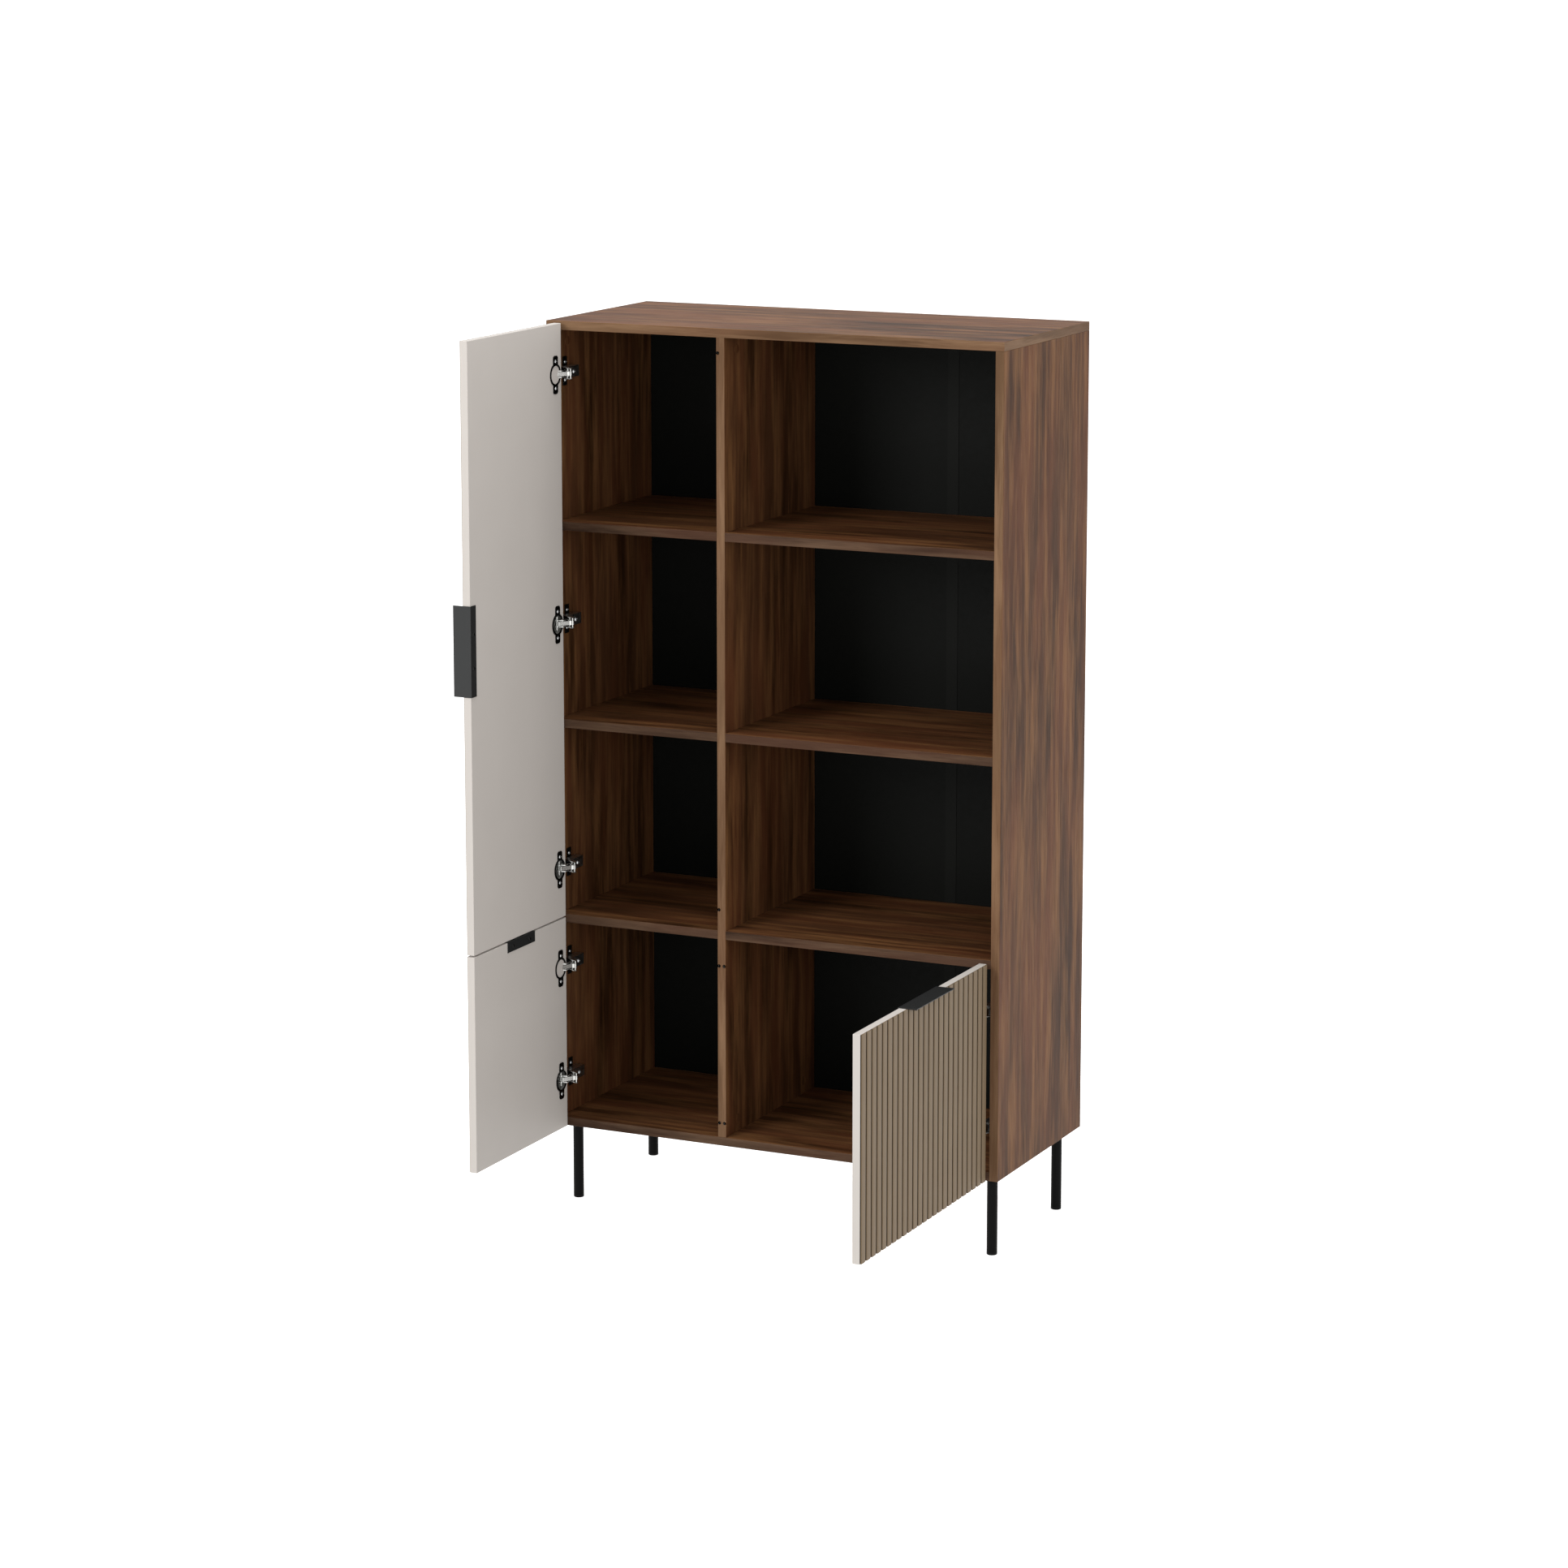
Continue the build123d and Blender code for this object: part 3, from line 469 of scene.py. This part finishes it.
def grown(name, tree, sockets, values, pattern=None):
    """A plain mesh from a node tree, with its inputs set before it is first evaluated."""
    seed = bpy.data.objects.new(name, pattern or bpy.data.meshes.new(name))
    scene.collection.objects.link(seed)
    grower = seed.modifiers.new(name, "NODES")
    grower.node_group = tree
    for label, value in values.items():
        grower[sockets[label]] = value
    seed.update_tag()
    view = bpy.context.evaluated_depsgraph_get()
    mesh = bpy.data.meshes.new_from_object(seed.evaluated_get(view))
    seed.modifiers.clear()
    seed.data = mesh
    mesh.shade_smooth()
    mesh.set_sharp_from_angle(angle=grown_crease)
    return seed


def islands(node):
    """Lowest and highest corners of each separate solid in a CAD node."""
    same_point = 0.000002
    joined = bmesh.new()
    joined.from_mesh(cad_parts[node].data)
    bmesh.ops.remove_doubles(joined, verts=joined.verts[:], dist=same_point)
    left = set(joined.verts)
    boxes = []
    while left:
        reached = [left.pop()]
        low, high = reached[0].co.copy(), reached[0].co.copy()
        while reached:
            point = reached.pop()
            for k in range(3):
                low[k] = min(low[k], point.co[k])
                high[k] = max(high[k], point.co[k])
            for edge in point.link_edges:
                other = edge.other_vert(point)
                if other in left:
                    left.discard(other)
                    reached.append(other)
        boxes.append((low, high))
    joined.free()
    return sorted(boxes, key=lambda b: tuple(round(v, 5) for v in b[0]))


rib_relief = 0.0022
rib_pitch = 0.02127
rib_rounding = 0.0012
rib_set_in = 0.0004
groove_mouth = 0.0065
groove_floor = 0.003
door_rounding = 0.0008
cup_from_edge = 0.0225
bore_radius = 0.0175
bore_deep = 0.0122
bore_steps = 64
for door, facing in (("tall", -1), ("lower_left", -1), ("lower_right", 1)):
    node = f"{door}_door_panel"
    low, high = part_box(node)
    front, back = (high.x, low.x) if facing > 0 else (low.x, high.x)
    core_low, core_high = low.copy(), high.copy()
    if facing > 0:
        core_high.x -= rib_relief
    else:
        core_low.x += rib_relief
    slab_mesh = soft_box(f"{door}_door_board", core_low, core_high, door_rounding, 3)
    slab = new_piece(f"{door}_door_board", slab_mesh, greige_foil)

    # The blind bores for the cups, drilled from the door's back.
    hinge_y = high.y - cup_from_edge
    bores = bmesh.new()
    for cup_low, cup_high in islands(f"{door}_door_hinge_cups"):
        turned = bmesh.ops.create_cone(
            bores, cap_ends=True, segments=bore_steps,
            radius1=bore_radius, radius2=bore_radius, depth=bore_deep * 2,
        )
        for vert in turned["verts"]:
            x, y, z = vert.co
            vert.co = (back + z, hinge_y + y, (cup_low.z + cup_high.z) / 2 + x)
    bmesh.ops.recalc_face_normals(bores, faces=bores.faces[:])
    bore_mesh = bpy.data.meshes.new(f"{door}_bores")
    bores.to_mesh(bore_mesh)
    bores.free()
    cutter = new_piece(f"{door}_bores", bore_mesh)
    milling = slab.modifiers.new("bores", "BOOLEAN")
    milling.operation = "DIFFERENCE"
    milling.solver = "EXACT"
    milling.object = cutter
    view = bpy.context.evaluated_depsgraph_get()
    bored = bpy.data.meshes.new_from_object(slab.evaluated_get(view))
    slab.modifiers.clear()
    slab.data = bored
    bpy.data.objects.remove(cutter)
    # The slab's front, seen as the floor of each groove, wears the darker foil: painted shade in the grooves.
    bored.materials.append(groove_shade_foil)
    smooth_roundings(bored)
    for face in bored.polygons:
        below_back = abs(face.center.x - back) > door_rounding
        across_bore = abs(face.normal.x) < 0.5 and abs(face.center.y - hinge_y) < bore_radius
        if below_back and across_bore:
            face.use_smooth = False
        face.material_index = 1 if face.normal.x * facing > 0.9 else 0

    # A whole number of ribs, shared evenly over the door's width.
    count = round((high.y - low.y) / rib_pitch)
    pitch = (high.y - low.y) / count
    ribs = grown(
        f"{door}_door_ribs", rib_tree, rib_input,
        {
            "Count": count,
            "First Rib": (front - facing * rib_relief / 2, low.y + pitch / 2, low.z + rib_set_in),
            "Pitch": pitch,
            "Foot Width": pitch - groove_floor,
            "Crest Width": pitch - groove_mouth,
            "Relief": rib_relief,
            "Rounding": rib_rounding,
            "Length": high.z - low.z - 2 * rib_set_in,
            "Turn": -facing * math.pi / 2,
            "Finish": cashmere_foil,
        },
    )
    for piece in (slab, ribs):
        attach(piece, f"{door}_door")
    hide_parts(node)

# --- Edge handles ---------------------------------------------------------------------------------
# Steel strip 1.5 mm thick, folded once: a flange screwed to the door's back and a web that runs
# over the edge and out past the ribs as a lip. Powder-coated black.


def powder_coat(name, dark, light, gloss):
    """Baked powder: satin black with an orange peel of about 1.5 mm."""
    finish, tree = new_finish(name)
    place = add(tree, "ShaderNodeTexCoord", {}, {}).outputs["Object"]
    peel = add(tree, "ShaderNodeTexNoise", {}, {"Vector": place, "Scale": 700.0, "Detail": 1.0})
    sheen = add(tree, "ShaderNodeMapRange", {}, {0: peel.outputs[0], 3: 0.4, 4: 0.52})
    tone = add(
        tree, "ShaderNodeMix", {"data_type": "RGBA"}, {0: peel.outputs[0], 6: linear(dark), 7: linear(light)}
    )
    relief = add(tree, "ShaderNodeBump", {}, {"Height": peel.outputs[0], "Distance": 0.0001, "Strength": 0.3})
    body = add(
        tree, "ShaderNodeBsdfPrincipled", {},
        {
            "Base Color": tone.outputs[2], "Roughness": sheen.outputs[0], "Normal": relief.outputs[0],
            "Specular IOR Level": gloss,
        },
    )
    add(tree, "ShaderNodeOutputMaterial", {}, {"Surface": body.outputs[0]})
    return finish


handle_coat = powder_coat("charcoal_powder_coated_steel", "#191a1a", "#212222", 0.3)
sheet_thick = 0.0015
fold_rounding = 0.0011
cut_edge_rounding = 0.00025
square_corner = math.radians(69.0)
for door, facing, fold in (("tall", -1, y_axis), ("lower_left", -1, z_axis), ("lower_right", 1, z_axis)):
    node = f"{door}_door_handle"
    low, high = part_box(node)
    back, lip = (high.x, low.x) if facing < 0 else (low.x, high.x)
    across_lip = low.y if fold == y_axis else high.z
    across_tip = high.y if fold == y_axis else low.z
    inner = across_lip + (sheet_thick if fold == y_axis else -sheet_thick)
    flange_front = back + facing * sheet_thick
    profile = [
        (back, across_tip), (flange_front, across_tip), (flange_front, inner),
        (lip, inner), (lip, across_lip), (back, across_lip),
    ]
    ends = (low.z, high.z) if fold == y_axis else (low.y, high.y)
    strip = bmesh.new()
    rings = []
    for end in ends:
        ring = [(x, across, end) if fold == y_axis else (x, end, across) for x, across in profile]
        rings.append([strip.verts.new(point) for point in ring])
    strip.faces.new(rings[0])
    strip.faces.new(rings[1])
    for i in range(len(profile)):
        j = (i + 1) % len(profile)
        strip.faces.new([rings[0][i], rings[0][j], rings[1][j], rings[1][i]])
    outer_fold = strip.edges.get((rings[0][-1], rings[1][-1]))
    bmesh.ops.bevel(
        strip, geom=[outer_fold], offset=fold_rounding, segments=4, profile=0.5, affect="EDGES"
    )
    cut_edges = [edge for edge in strip.edges if edge.calc_face_angle(0.0) > square_corner]
    bmesh.ops.bevel(
        strip, geom=cut_edges, offset=cut_edge_rounding, segments=2, profile=0.5, affect="EDGES"
    )
    bmesh.ops.recalc_face_normals(strip, faces=strip.faces[:])
    mesh = bpy.data.meshes.new(f"{door}_edge_handle")
    strip.to_mesh(mesh)
    strip.free()
    smooth_roundings(mesh)
    piece = new_piece(f"{door}_edge_handle", mesh, handle_coat)
    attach(piece, f"{door}_door")
    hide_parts(node)

# --- Concealed hinges -----------------------------------------------------------------------------
# Pressed steel cups, links and arms, nickel-plated, on cross-shaped plates screwed to the sides.
# The wings of the cups and the plates are the same nickel painted nearly black, a painted dark reflection.

# Draw lines from the die are 0.5 mm apart; they are drawn 1.2 mm apart so that they show.
draw_lines = (120.0, 120.0, 850.0)


def plated(name, dark, light, roughness):
    """Plated pressed steel: a soft gleam with faint draw lines from the die."""
    finish, tree = new_finish(name)
    place = add(tree, "ShaderNodeTexCoord", {}, {}).outputs["Object"]
    drawn = add(tree, "ShaderNodeMapping", {}, {"Vector": place, "Scale": draw_lines}).outputs[0]
    lines = add(tree, "ShaderNodeTexNoise", {}, {"Vector": drawn, "Scale": 1.0, "Detail": 2.0})
    tone = add(
        tree, "ShaderNodeMix", {"data_type": "RGBA"}, {0: lines.outputs[0], 6: linear(dark), 7: linear(light)}
    )
    sheen = add(
        tree, "ShaderNodeMapRange", {},
        {0: lines.outputs[0], 3: roughness - 0.07, 4: roughness + 0.07},
    )
    relief = add(
        tree, "ShaderNodeBump", {}, {"Height": lines.outputs[0], "Distance": 0.0001, "Strength": 0.15}
    )
    body = add(
        tree, "ShaderNodeBsdfPrincipled", {},
        {
            "Base Color": tone.outputs[2], "Metallic": 1.0, "Roughness": sheen.outputs[0],
            "Normal": relief.outputs[0],
        },
    )
    add(tree, "ShaderNodeOutputMaterial", {}, {"Surface": body.outputs[0]})
    return finish


# Bright nickel on the links and arms; the mounting plates get the same nickel painted nearly black, a painted
# dark reflection.
bright_nickel = plated("nickel_plated_steel", "#a9a9a6", "#bdbdba", 0.3)
# Painted dark reflection: nickel coloured nearly black.
nickel_painted_dark_reflection = plated("nickel_steel_painted_dark_reflection", "#2b2b2a", "#3b3b3a", 0.38)

# The cup is bright nickel inside; where its rim and wings stand proud of the door it is painted nearly black,
# a painted dark reflection.
nickel_with_painted_dark_rim, tree = new_finish("nickel_steel_painted_dark_rim")
place = add(tree, "ShaderNodeTexCoord", {}, {}).outputs["Object"]
apart = add(tree, "ShaderNodeSeparateXYZ", {}, {0: place})
from_middle = add(tree, "ShaderNodeMath", {"operation": "ABSOLUTE"}, {0: apart.outputs["X"]})
door_back = abs(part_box("tall_door_panel")[1].x)
proud = add(tree, "ShaderNodeMath", {"operation": "LESS_THAN"}, {0: from_middle.outputs[0], 1: door_back})
drawn = add(tree, "ShaderNodeMapping", {}, {"Vector": place, "Scale": draw_lines}).outputs[0]
lines = add(tree, "ShaderNodeTexNoise", {}, {"Vector": drawn, "Scale": 1.0, "Detail": 2.0})
bright = add(
    tree, "ShaderNodeMix", {"data_type": "RGBA"},
    {0: lines.outputs[0], 6: linear("#a9a9a6"), 7: linear("#bdbdba")},
)
# Painted dark reflection: the rim and wings proud of the door are coloured nearly black.
tone = add(
    tree, "ShaderNodeMix", {"data_type": "RGBA"},
    {0: proud.outputs[0], 6: bright.outputs[2], 7: linear("#2c2c2b")},
)
sheen = add(tree, "ShaderNodeMapRange", {}, {0: lines.outputs[0], 3: 0.26, 4: 0.4})
body = add(
    tree, "ShaderNodeBsdfPrincipled", {},
    {"Base Color": tone.outputs[2], "Metallic": 1.0, "Roughness": sheen.outputs[0]},
)
add(tree, "ShaderNodeOutputMaterial", {}, {"Surface": body.outputs[0]})
for door in ("tall", "lower_left", "lower_right"):
    dress(f"{door}_door_hinge_cups", nickel_with_painted_dark_rim)
    dress(f"{door}_door_cup_pins", bright_nickel)
    dress(f"{door}_door_outer_links", bright_nickel)
    dress(f"{door}_door_inner_links", bright_nickel)
    dress(f"{door}_door_hinge_arms", bright_nickel)
    dress(f"{door}_door_mounting_plates", nickel_painted_dark_reflection)
dress("hinge_arm_pins", bright_nickel)

# --- Screws ---------------------------------------------------------------------------------------
# Pan-head screws with a cross recess hold the cups, plates, arms, handles, back sheets and legs.
# Each is turned from wire and zinc-plated, or blackened where it shows.

screw_tree = bpy.data.node_groups.new("pan_head_screws", "GeometryNodeTree")
screw_tree.interface.new_socket("Geometry", in_out="INPUT", socket_type="NodeSocketGeometry")
screw_input = {}
for label, kind in (
    ("Head Radius", "NodeSocketFloat"), ("Head Height", "NodeSocketFloat"),
    ("Shank Radius", "NodeSocketFloat"), ("Shank Length", "NodeSocketFloat"),
    ("Tilt", "NodeSocketVector"), ("Finish", "NodeSocketMaterial"),
):
    screw_input[label] = screw_tree.interface.new_socket(label, in_out="INPUT", socket_type=kind).identifier
screw_tree.interface.new_socket("Geometry", in_out="OUTPUT", socket_type="NodeSocketGeometry")
given = add(screw_tree, "NodeGroupInput", {}, {}).outputs
# The crown's radius, and the length and width of a bar of the cross, as shares of the head's radius.
share_of_head = {}
for label, share in (("crown", 0.72), ("bar long", 1.15), ("bar wide", 0.26)):
    share_of_head[label] = add(
        screw_tree, "ShaderNodeMath", {"operation": "MULTIPLY"}, {0: given["Head Radius"], 1: share}
    ).outputs[0]
head = add(
    screw_tree, "GeometryNodeMeshCone", {"fill_type": "NGON"},
    {
        "Vertices": 20, "Radius Top": share_of_head["crown"], "Radius Bottom": given["Head Radius"],
        "Depth": given["Head Height"],
    },
)
recessed = add(
    screw_tree, "GeometryNodeMeshBoolean", {"operation": "DIFFERENCE", "solver": "EXACT"},
    {"Mesh 1": head.outputs[0]},
)
recess_top = add(screw_tree, "ShaderNodeCombineXYZ", {}, {"Z": given["Head Height"]}).outputs[0]
for x_label, y_label in (("bar long", "bar wide"), ("bar wide", "bar long")):
    bar_size = add(
        screw_tree, "ShaderNodeCombineXYZ", {},
        {"X": share_of_head[x_label], "Y": share_of_head[y_label], "Z": given["Head Height"]},
    )
    bar = add(screw_tree, "GeometryNodeMeshCube", {}, {"Size": bar_size.outputs[0]})
    raised = add(
        screw_tree, "GeometryNodeTransform", {}, {"Geometry": bar.outputs[0], "Translation": recess_top}
    )
    screw_tree.links.new(raised.outputs[0], recessed.inputs["Mesh 2"])
shank = add(
    screw_tree, "GeometryNodeMeshCylinder", {"fill_type": "NGON"},
    {"Vertices": 12, "Radius": given["Shank Radius"], "Depth": given["Shank Length"]},
)
half_down = add(
    screw_tree, "ShaderNodeMath", {"operation": "MULTIPLY"}, {0: given["Shank Length"], 1: -0.5}
)
sunk = add(screw_tree, "ShaderNodeCombineXYZ", {}, {"Z": half_down.outputs[0]})
lowered = add(
    screw_tree, "GeometryNodeTransform", {},
    {"Geometry": shank.outputs[0], "Translation": sunk.outputs[0]},
)
whole = add(screw_tree, "GeometryNodeJoinGeometry", {}, {})
screw_tree.links.new(recessed.outputs[0], whole.inputs[0])
screw_tree.links.new(lowered.outputs[0], whole.inputs[0])
driven = add(
    screw_tree, "GeometryNodeInstanceOnPoints", {},
    {"Points": given["Geometry"], "Instance": whole.outputs[0], "Rotation": given["Tilt"]},
)
real = add(screw_tree, "GeometryNodeRealizeInstances", {}, {"Geometry": driven.outputs[0]})
worn = add(
    screw_tree, "GeometryNodeSetMaterial", {},
    {"Geometry": real.outputs[0], "Material": given["Finish"]},
)
add(screw_tree, "NodeGroupOutput", {}, {0: worn.outputs[0]})

# Zinc plate on cold-headed steel: bluish and bright, or passivated black.
black_zinc = plated("black_zinc_screw_steel", "#1d1d1c", "#2a2a29", 0.4)
bright_zinc = plated("bright_zinc_screw_steel", "#9fa0a0", "#b3b4b4", 0.35)
# Tilts that point a head along each axis.
towards = {
    "+x": (0.0, math.pi / 2, 0.0), "-x": (0.0, -math.pi / 2, 0.0),
    "+y": (-math.pi / 2, 0.0, 0.0), "-z": (math.pi, 0.0, 0.0),
}
middle_x = (cad_box[0][0] + cad_box[1][0]) / 2
# Heights of the heads.
cup_head, plate_head, arm_head = 0.0013, 0.0014, 0.0018
handle_head, back_head, leg_head = 0.0012, 0.0016, 0.002
shank_of_head = 0.5
for node, body_name, head_height, finish, slot in (
    ("tall_door_cup_screws", "tall_door", cup_head, bright_zinc, "zinc_screws"),
    ("lower_left_door_cup_screws", "lower_left_door", cup_head, bright_zinc, "zinc_screws"),
    ("lower_right_door_cup_screws", "lower_right_door", cup_head, bright_zinc, "zinc_screws"),
    ("mounting_plate_screws", "carcass", plate_head, bright_zinc, "zinc_screws"),
    ("arm_screws", "carcass", arm_head, bright_zinc, "zinc_screws"),
    ("tall_door_handle_screws", "tall_door", handle_head, black_zinc, "black_screws"),
    ("lower_left_door_handle_screws", "lower_left_door", handle_head, black_zinc, "black_screws"),
    ("lower_right_door_handle_screws", "lower_right_door", handle_head, black_zinc, "black_screws"),
    ("back_screws", "carcass", back_head, black_zinc, "black_screws"),
    ("leg_screws", "carcass", leg_head, bright_zinc, "zinc_screws"),
):
    heads = {}
    for low, high in islands(node):
        middle = (low + high) / 2
        if node == "back_screws":
            way, seat = "+y", Vector((middle.x, high.y - head_height, middle.z))
        elif node == "leg_screws":
            way, seat = "-z", Vector((middle.x, middle.y, low.z + head_height))
        elif middle.x < middle_x:
            way, seat = "+x", Vector((high.x - head_height, middle.y, middle.z))
        else:
            way, seat = "-x", Vector((low.x + head_height, middle.y, middle.z))
        spans = sorted(high - low)
        heads.setdefault(way, []).append((seat, spans[1] / 2, spans[2]))
    made = []
    for way, found in heads.items():
        pattern = bpy.data.meshes.new("screw_places")
        pattern.from_pydata([seat for seat, _, _ in found], [], [])
        _, head_radius, whole_length = found[0]
        name = f"{node}_turned" if len(heads) == 1 else f"{node}_turned_{len(made) + 1}"
        sizes = {
            "Head Radius": head_radius, "Head Height": head_height,
            "Shank Radius": head_radius * shank_of_head, "Shank Length": whole_length - head_height,
            "Tilt": towards[way], "Finish": finish,
        }
        made.append(grown(name, screw_tree, screw_input, sizes, pattern))
    for piece in made:
        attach(piece, body_name)
    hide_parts(node)

# --- Legs -----------------------------------------------------------------------------------------
# Round steel tubes 19 mm across, each welded to a square plate under the bottom board and
# powder-coated, with a moulded foot pushed into its lower end.


turned_crease = math.radians(35.0)


def lathed(name, centre, profile, steps=48):
    """A closed solid of revolution about an upright axis; the profile runs from axis to axis."""
    solid = bmesh.new()
    rings = []
    for radius, z in profile:
        around = [2 * math.pi * i / steps for i in range(steps)] if radius else [0.0]
        rings.append([
            solid.verts.new((centre[0] + radius * math.cos(a), centre[1] + radius * math.sin(a), z))
            for a in around
        ])
    for ring, nxt in zip(rings, rings[1:]):
        for i in range(steps):
            j = (i + 1) % steps
            corners = [ring[i % len(ring)], ring[j % len(ring)], nxt[j % len(nxt)], nxt[i % len(nxt)]]
            solid.faces.new(list(dict.fromkeys(corners)))
    bmesh.ops.recalc_face_normals(solid, faces=solid.faces[:])
    mesh = bpy.data.meshes.new(name)
    solid.to_mesh(mesh)
    solid.free()
    mesh.shade_smooth()
    mesh.set_sharp_from_angle(angle=turned_crease)
    return mesh


def gathered(name, meshes, finish):
    """Several meshes as one piece."""
    whole = bmesh.new()
    for mesh in meshes:
        whole.from_mesh(mesh)
    mesh = bpy.data.meshes.new(name)
    whole.to_mesh(mesh)
    whole.free()
    return new_piece(name, mesh, finish)


# Powder coat in a deeper black than the handles, and moulded feet in the same black.
leg_coat = powder_coat("black_powder_coated_steel", "#060606", "#090909", 0.06)
foot_plastic = plastic("black_moulded_foot_plastic", "#080808", 0.5, 0.08)
tube_ease = 0.0004
foot_height = 0.006
foot_rounding = 0.0015
foot_hollow = 0.0004
hollow_share, ring_share = 0.45, 0.5
feet = []
for corner in ("front_left", "front_right", "back_left", "back_right"):
    low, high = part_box(f"leg_{corner}")
    centre = ((low.x + high.x) / 2, (low.y + high.y) / 2)
    outer = (high.x - low.x) / 2
    tube = lathed(
        f"{corner}_leg_tube", centre,
        [
            (0.0, low.z), (outer - tube_ease, low.z), (outer, low.z + tube_ease),
            (outer, high.z), (0.0, high.z),
        ],
    )
    piece = new_piece(f"{corner}_leg_tube", tube, leg_coat)
    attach(piece, "carcass")
    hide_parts(f"leg_{corner}")
    rounded_rim = [
        (outer - foot_rounding + foot_rounding * math.sin(a), foot_rounding - foot_rounding * math.cos(a))
        for a in (i * math.pi / 8 for i in range(5))
    ]
    sole = [(0.0, foot_hollow), (outer * hollow_share, foot_hollow), (outer * ring_share, 0.0)]
    seat = [(outer, foot_height - tube_ease), (outer - tube_ease, foot_height), (0.0, foot_height)]
    feet.append(lathed(f"{corner}_foot", centre, sole + rounded_rim + seat))
piece = gathered("leg_feet", feet, foot_plastic)
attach(piece, "carcass")
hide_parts("leg_glides")

plate_rounding = 0.0008
plates = [soft_box("plate", low, high, plate_rounding) for low, high in islands("leg_plates")]
piece = gathered("leg_mounting_plates", plates, leg_coat)
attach(piece, "carcass")
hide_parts("leg_plates")

# --- Cams, bolts, dowels and bumpers --------------------------------------------------------------
# Zinc cams and bolts with beech dowels hold the boards. Thin stick-on discs in the board's print
# cover the cams. Clear bumpers on the divider's front edge quieten the closing doors.

# Die-cast zinc: duller and bluer than the plated screws.
zinc_alloy = plated("die_cast_zinc", "#85868a", "#9b9ca0", 0.45)
dress("cam_locks", zinc_alloy)
dress("cam_bolts", bright_zinc)

# Beech: pale pinkish tan, turned, with short flecks along the dowel.
beech, tree = new_finish("turned_beech")
place = add(tree, "ShaderNodeTexCoord", {}, {}).outputs["Object"]
# Flecks of about 1 mm.
flecks = add(tree, "ShaderNodeTexNoise", {}, {"Vector": place, "Scale": 900.0, "Detail": 2.0})
tone = add(
    tree, "ShaderNodeMix", {"data_type": "RGBA"},
    {0: flecks.outputs[0], 6: linear("#b98f65"), 7: linear("#d3ad82")},
)
body = add(tree, "ShaderNodeBsdfPrincipled", {}, {"Base Color": tone.outputs[2], "Roughness": 0.65})
add(tree, "ShaderNodeOutputMaterial", {}, {"Surface": body.outputs[0]})
dress("wooden_dowels", beech)

cap_radius = 0.0085
cap_thick = 0.0003
cap_steps = 32
cap_print_shift = 20
cap_profile = [(0.0, 0.0), (cap_radius, 0.0), (cap_radius - cap_thick, cap_thick), (0.0, cap_thick)]
upright_boards = [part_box(node) for node in ("left_side_panel", "right_side_panel", "centre_divider")]
caps = []
for low, high in islands("cam_locks"):
    middle = (low + high) / 2
    cap = lathed("cap", (0.0, 0.0), cap_profile, cap_steps)
    if high.x - low.x < high.z - low.z:
        # A cam in an upright board: its open side is the one that is flush with a face of the board.
        board_low, board_high = min(upright_boards, key=lambda b: abs((b[0].x + b[1].x) / 2 - middle.x))
        out = 1 if abs(high.x - board_high.x) < abs(low.x - board_low.x) else -1
        flush = high.x if out > 0 else low.x
        for vert in cap.vertices:
            x, y, z = vert.co
            vert.co = (flush + out * z, middle.y + y, middle.z - out * x)
    else:
        # A cam in a level board opens downwards.
        for vert in cap.vertices:
            x, y, z = vert.co
            vert.co = (middle.x + x, middle.y - y, low.z - z)
    caps.append(cap)
piece = gathered("cam_cover_caps", caps, walnut_face)
lay_grain(piece.data, z_axis, cap_print_shift)
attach(piece, "carcass")

# Clear polyurethane: water-clear and slightly soft to look at.
clear_pu, tree = new_finish("clear_polyurethane")
place = add(tree, "ShaderNodeTexCoord", {}, {}).outputs["Object"]
# Moulding haze of about 1 mm.
haze = add(tree, "ShaderNodeTexNoise", {}, {"Vector": place, "Scale": 1000.0, "Detail": 1.0})
sheen = add(tree, "ShaderNodeMapRange", {}, {0: haze.outputs[0], 3: 0.1, 4: 0.25})
body = add(
    tree, "ShaderNodeBsdfPrincipled", {},
    {"Base Color": linear("#e9e4dc"), "Roughness": sheen.outputs[0], "IOR": 1.2, "Transmission Weight": 1.0},
)
add(tree, "ShaderNodeOutputMaterial", {}, {"Surface": body.outputs[0]})
dome_angles = (0.0, 0.35, 0.7, 1.05, 1.3)
dome_steps = 24
domes = []
for low, high in islands("door_bumpers"):
    middle = (low + high) / 2
    radius = (high.x - low.x) / 2
    rise = high.y - low.y
    arc = [(radius * math.cos(a), rise * math.sin(a)) for a in dome_angles]
    dome = lathed("dome", (0.0, 0.0), [(0.0, 0.0)] + arc + [(0.0, rise)], dome_steps)
    for vert in dome.vertices:
        x, y, z = vert.co
        vert.co = (middle.x + x, high.y - z, middle.z + y)
    domes.append(dome)
piece = gathered("clear_door_bumpers", domes, clear_pu)
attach(piece, "carcass")
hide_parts("door_bumpers")
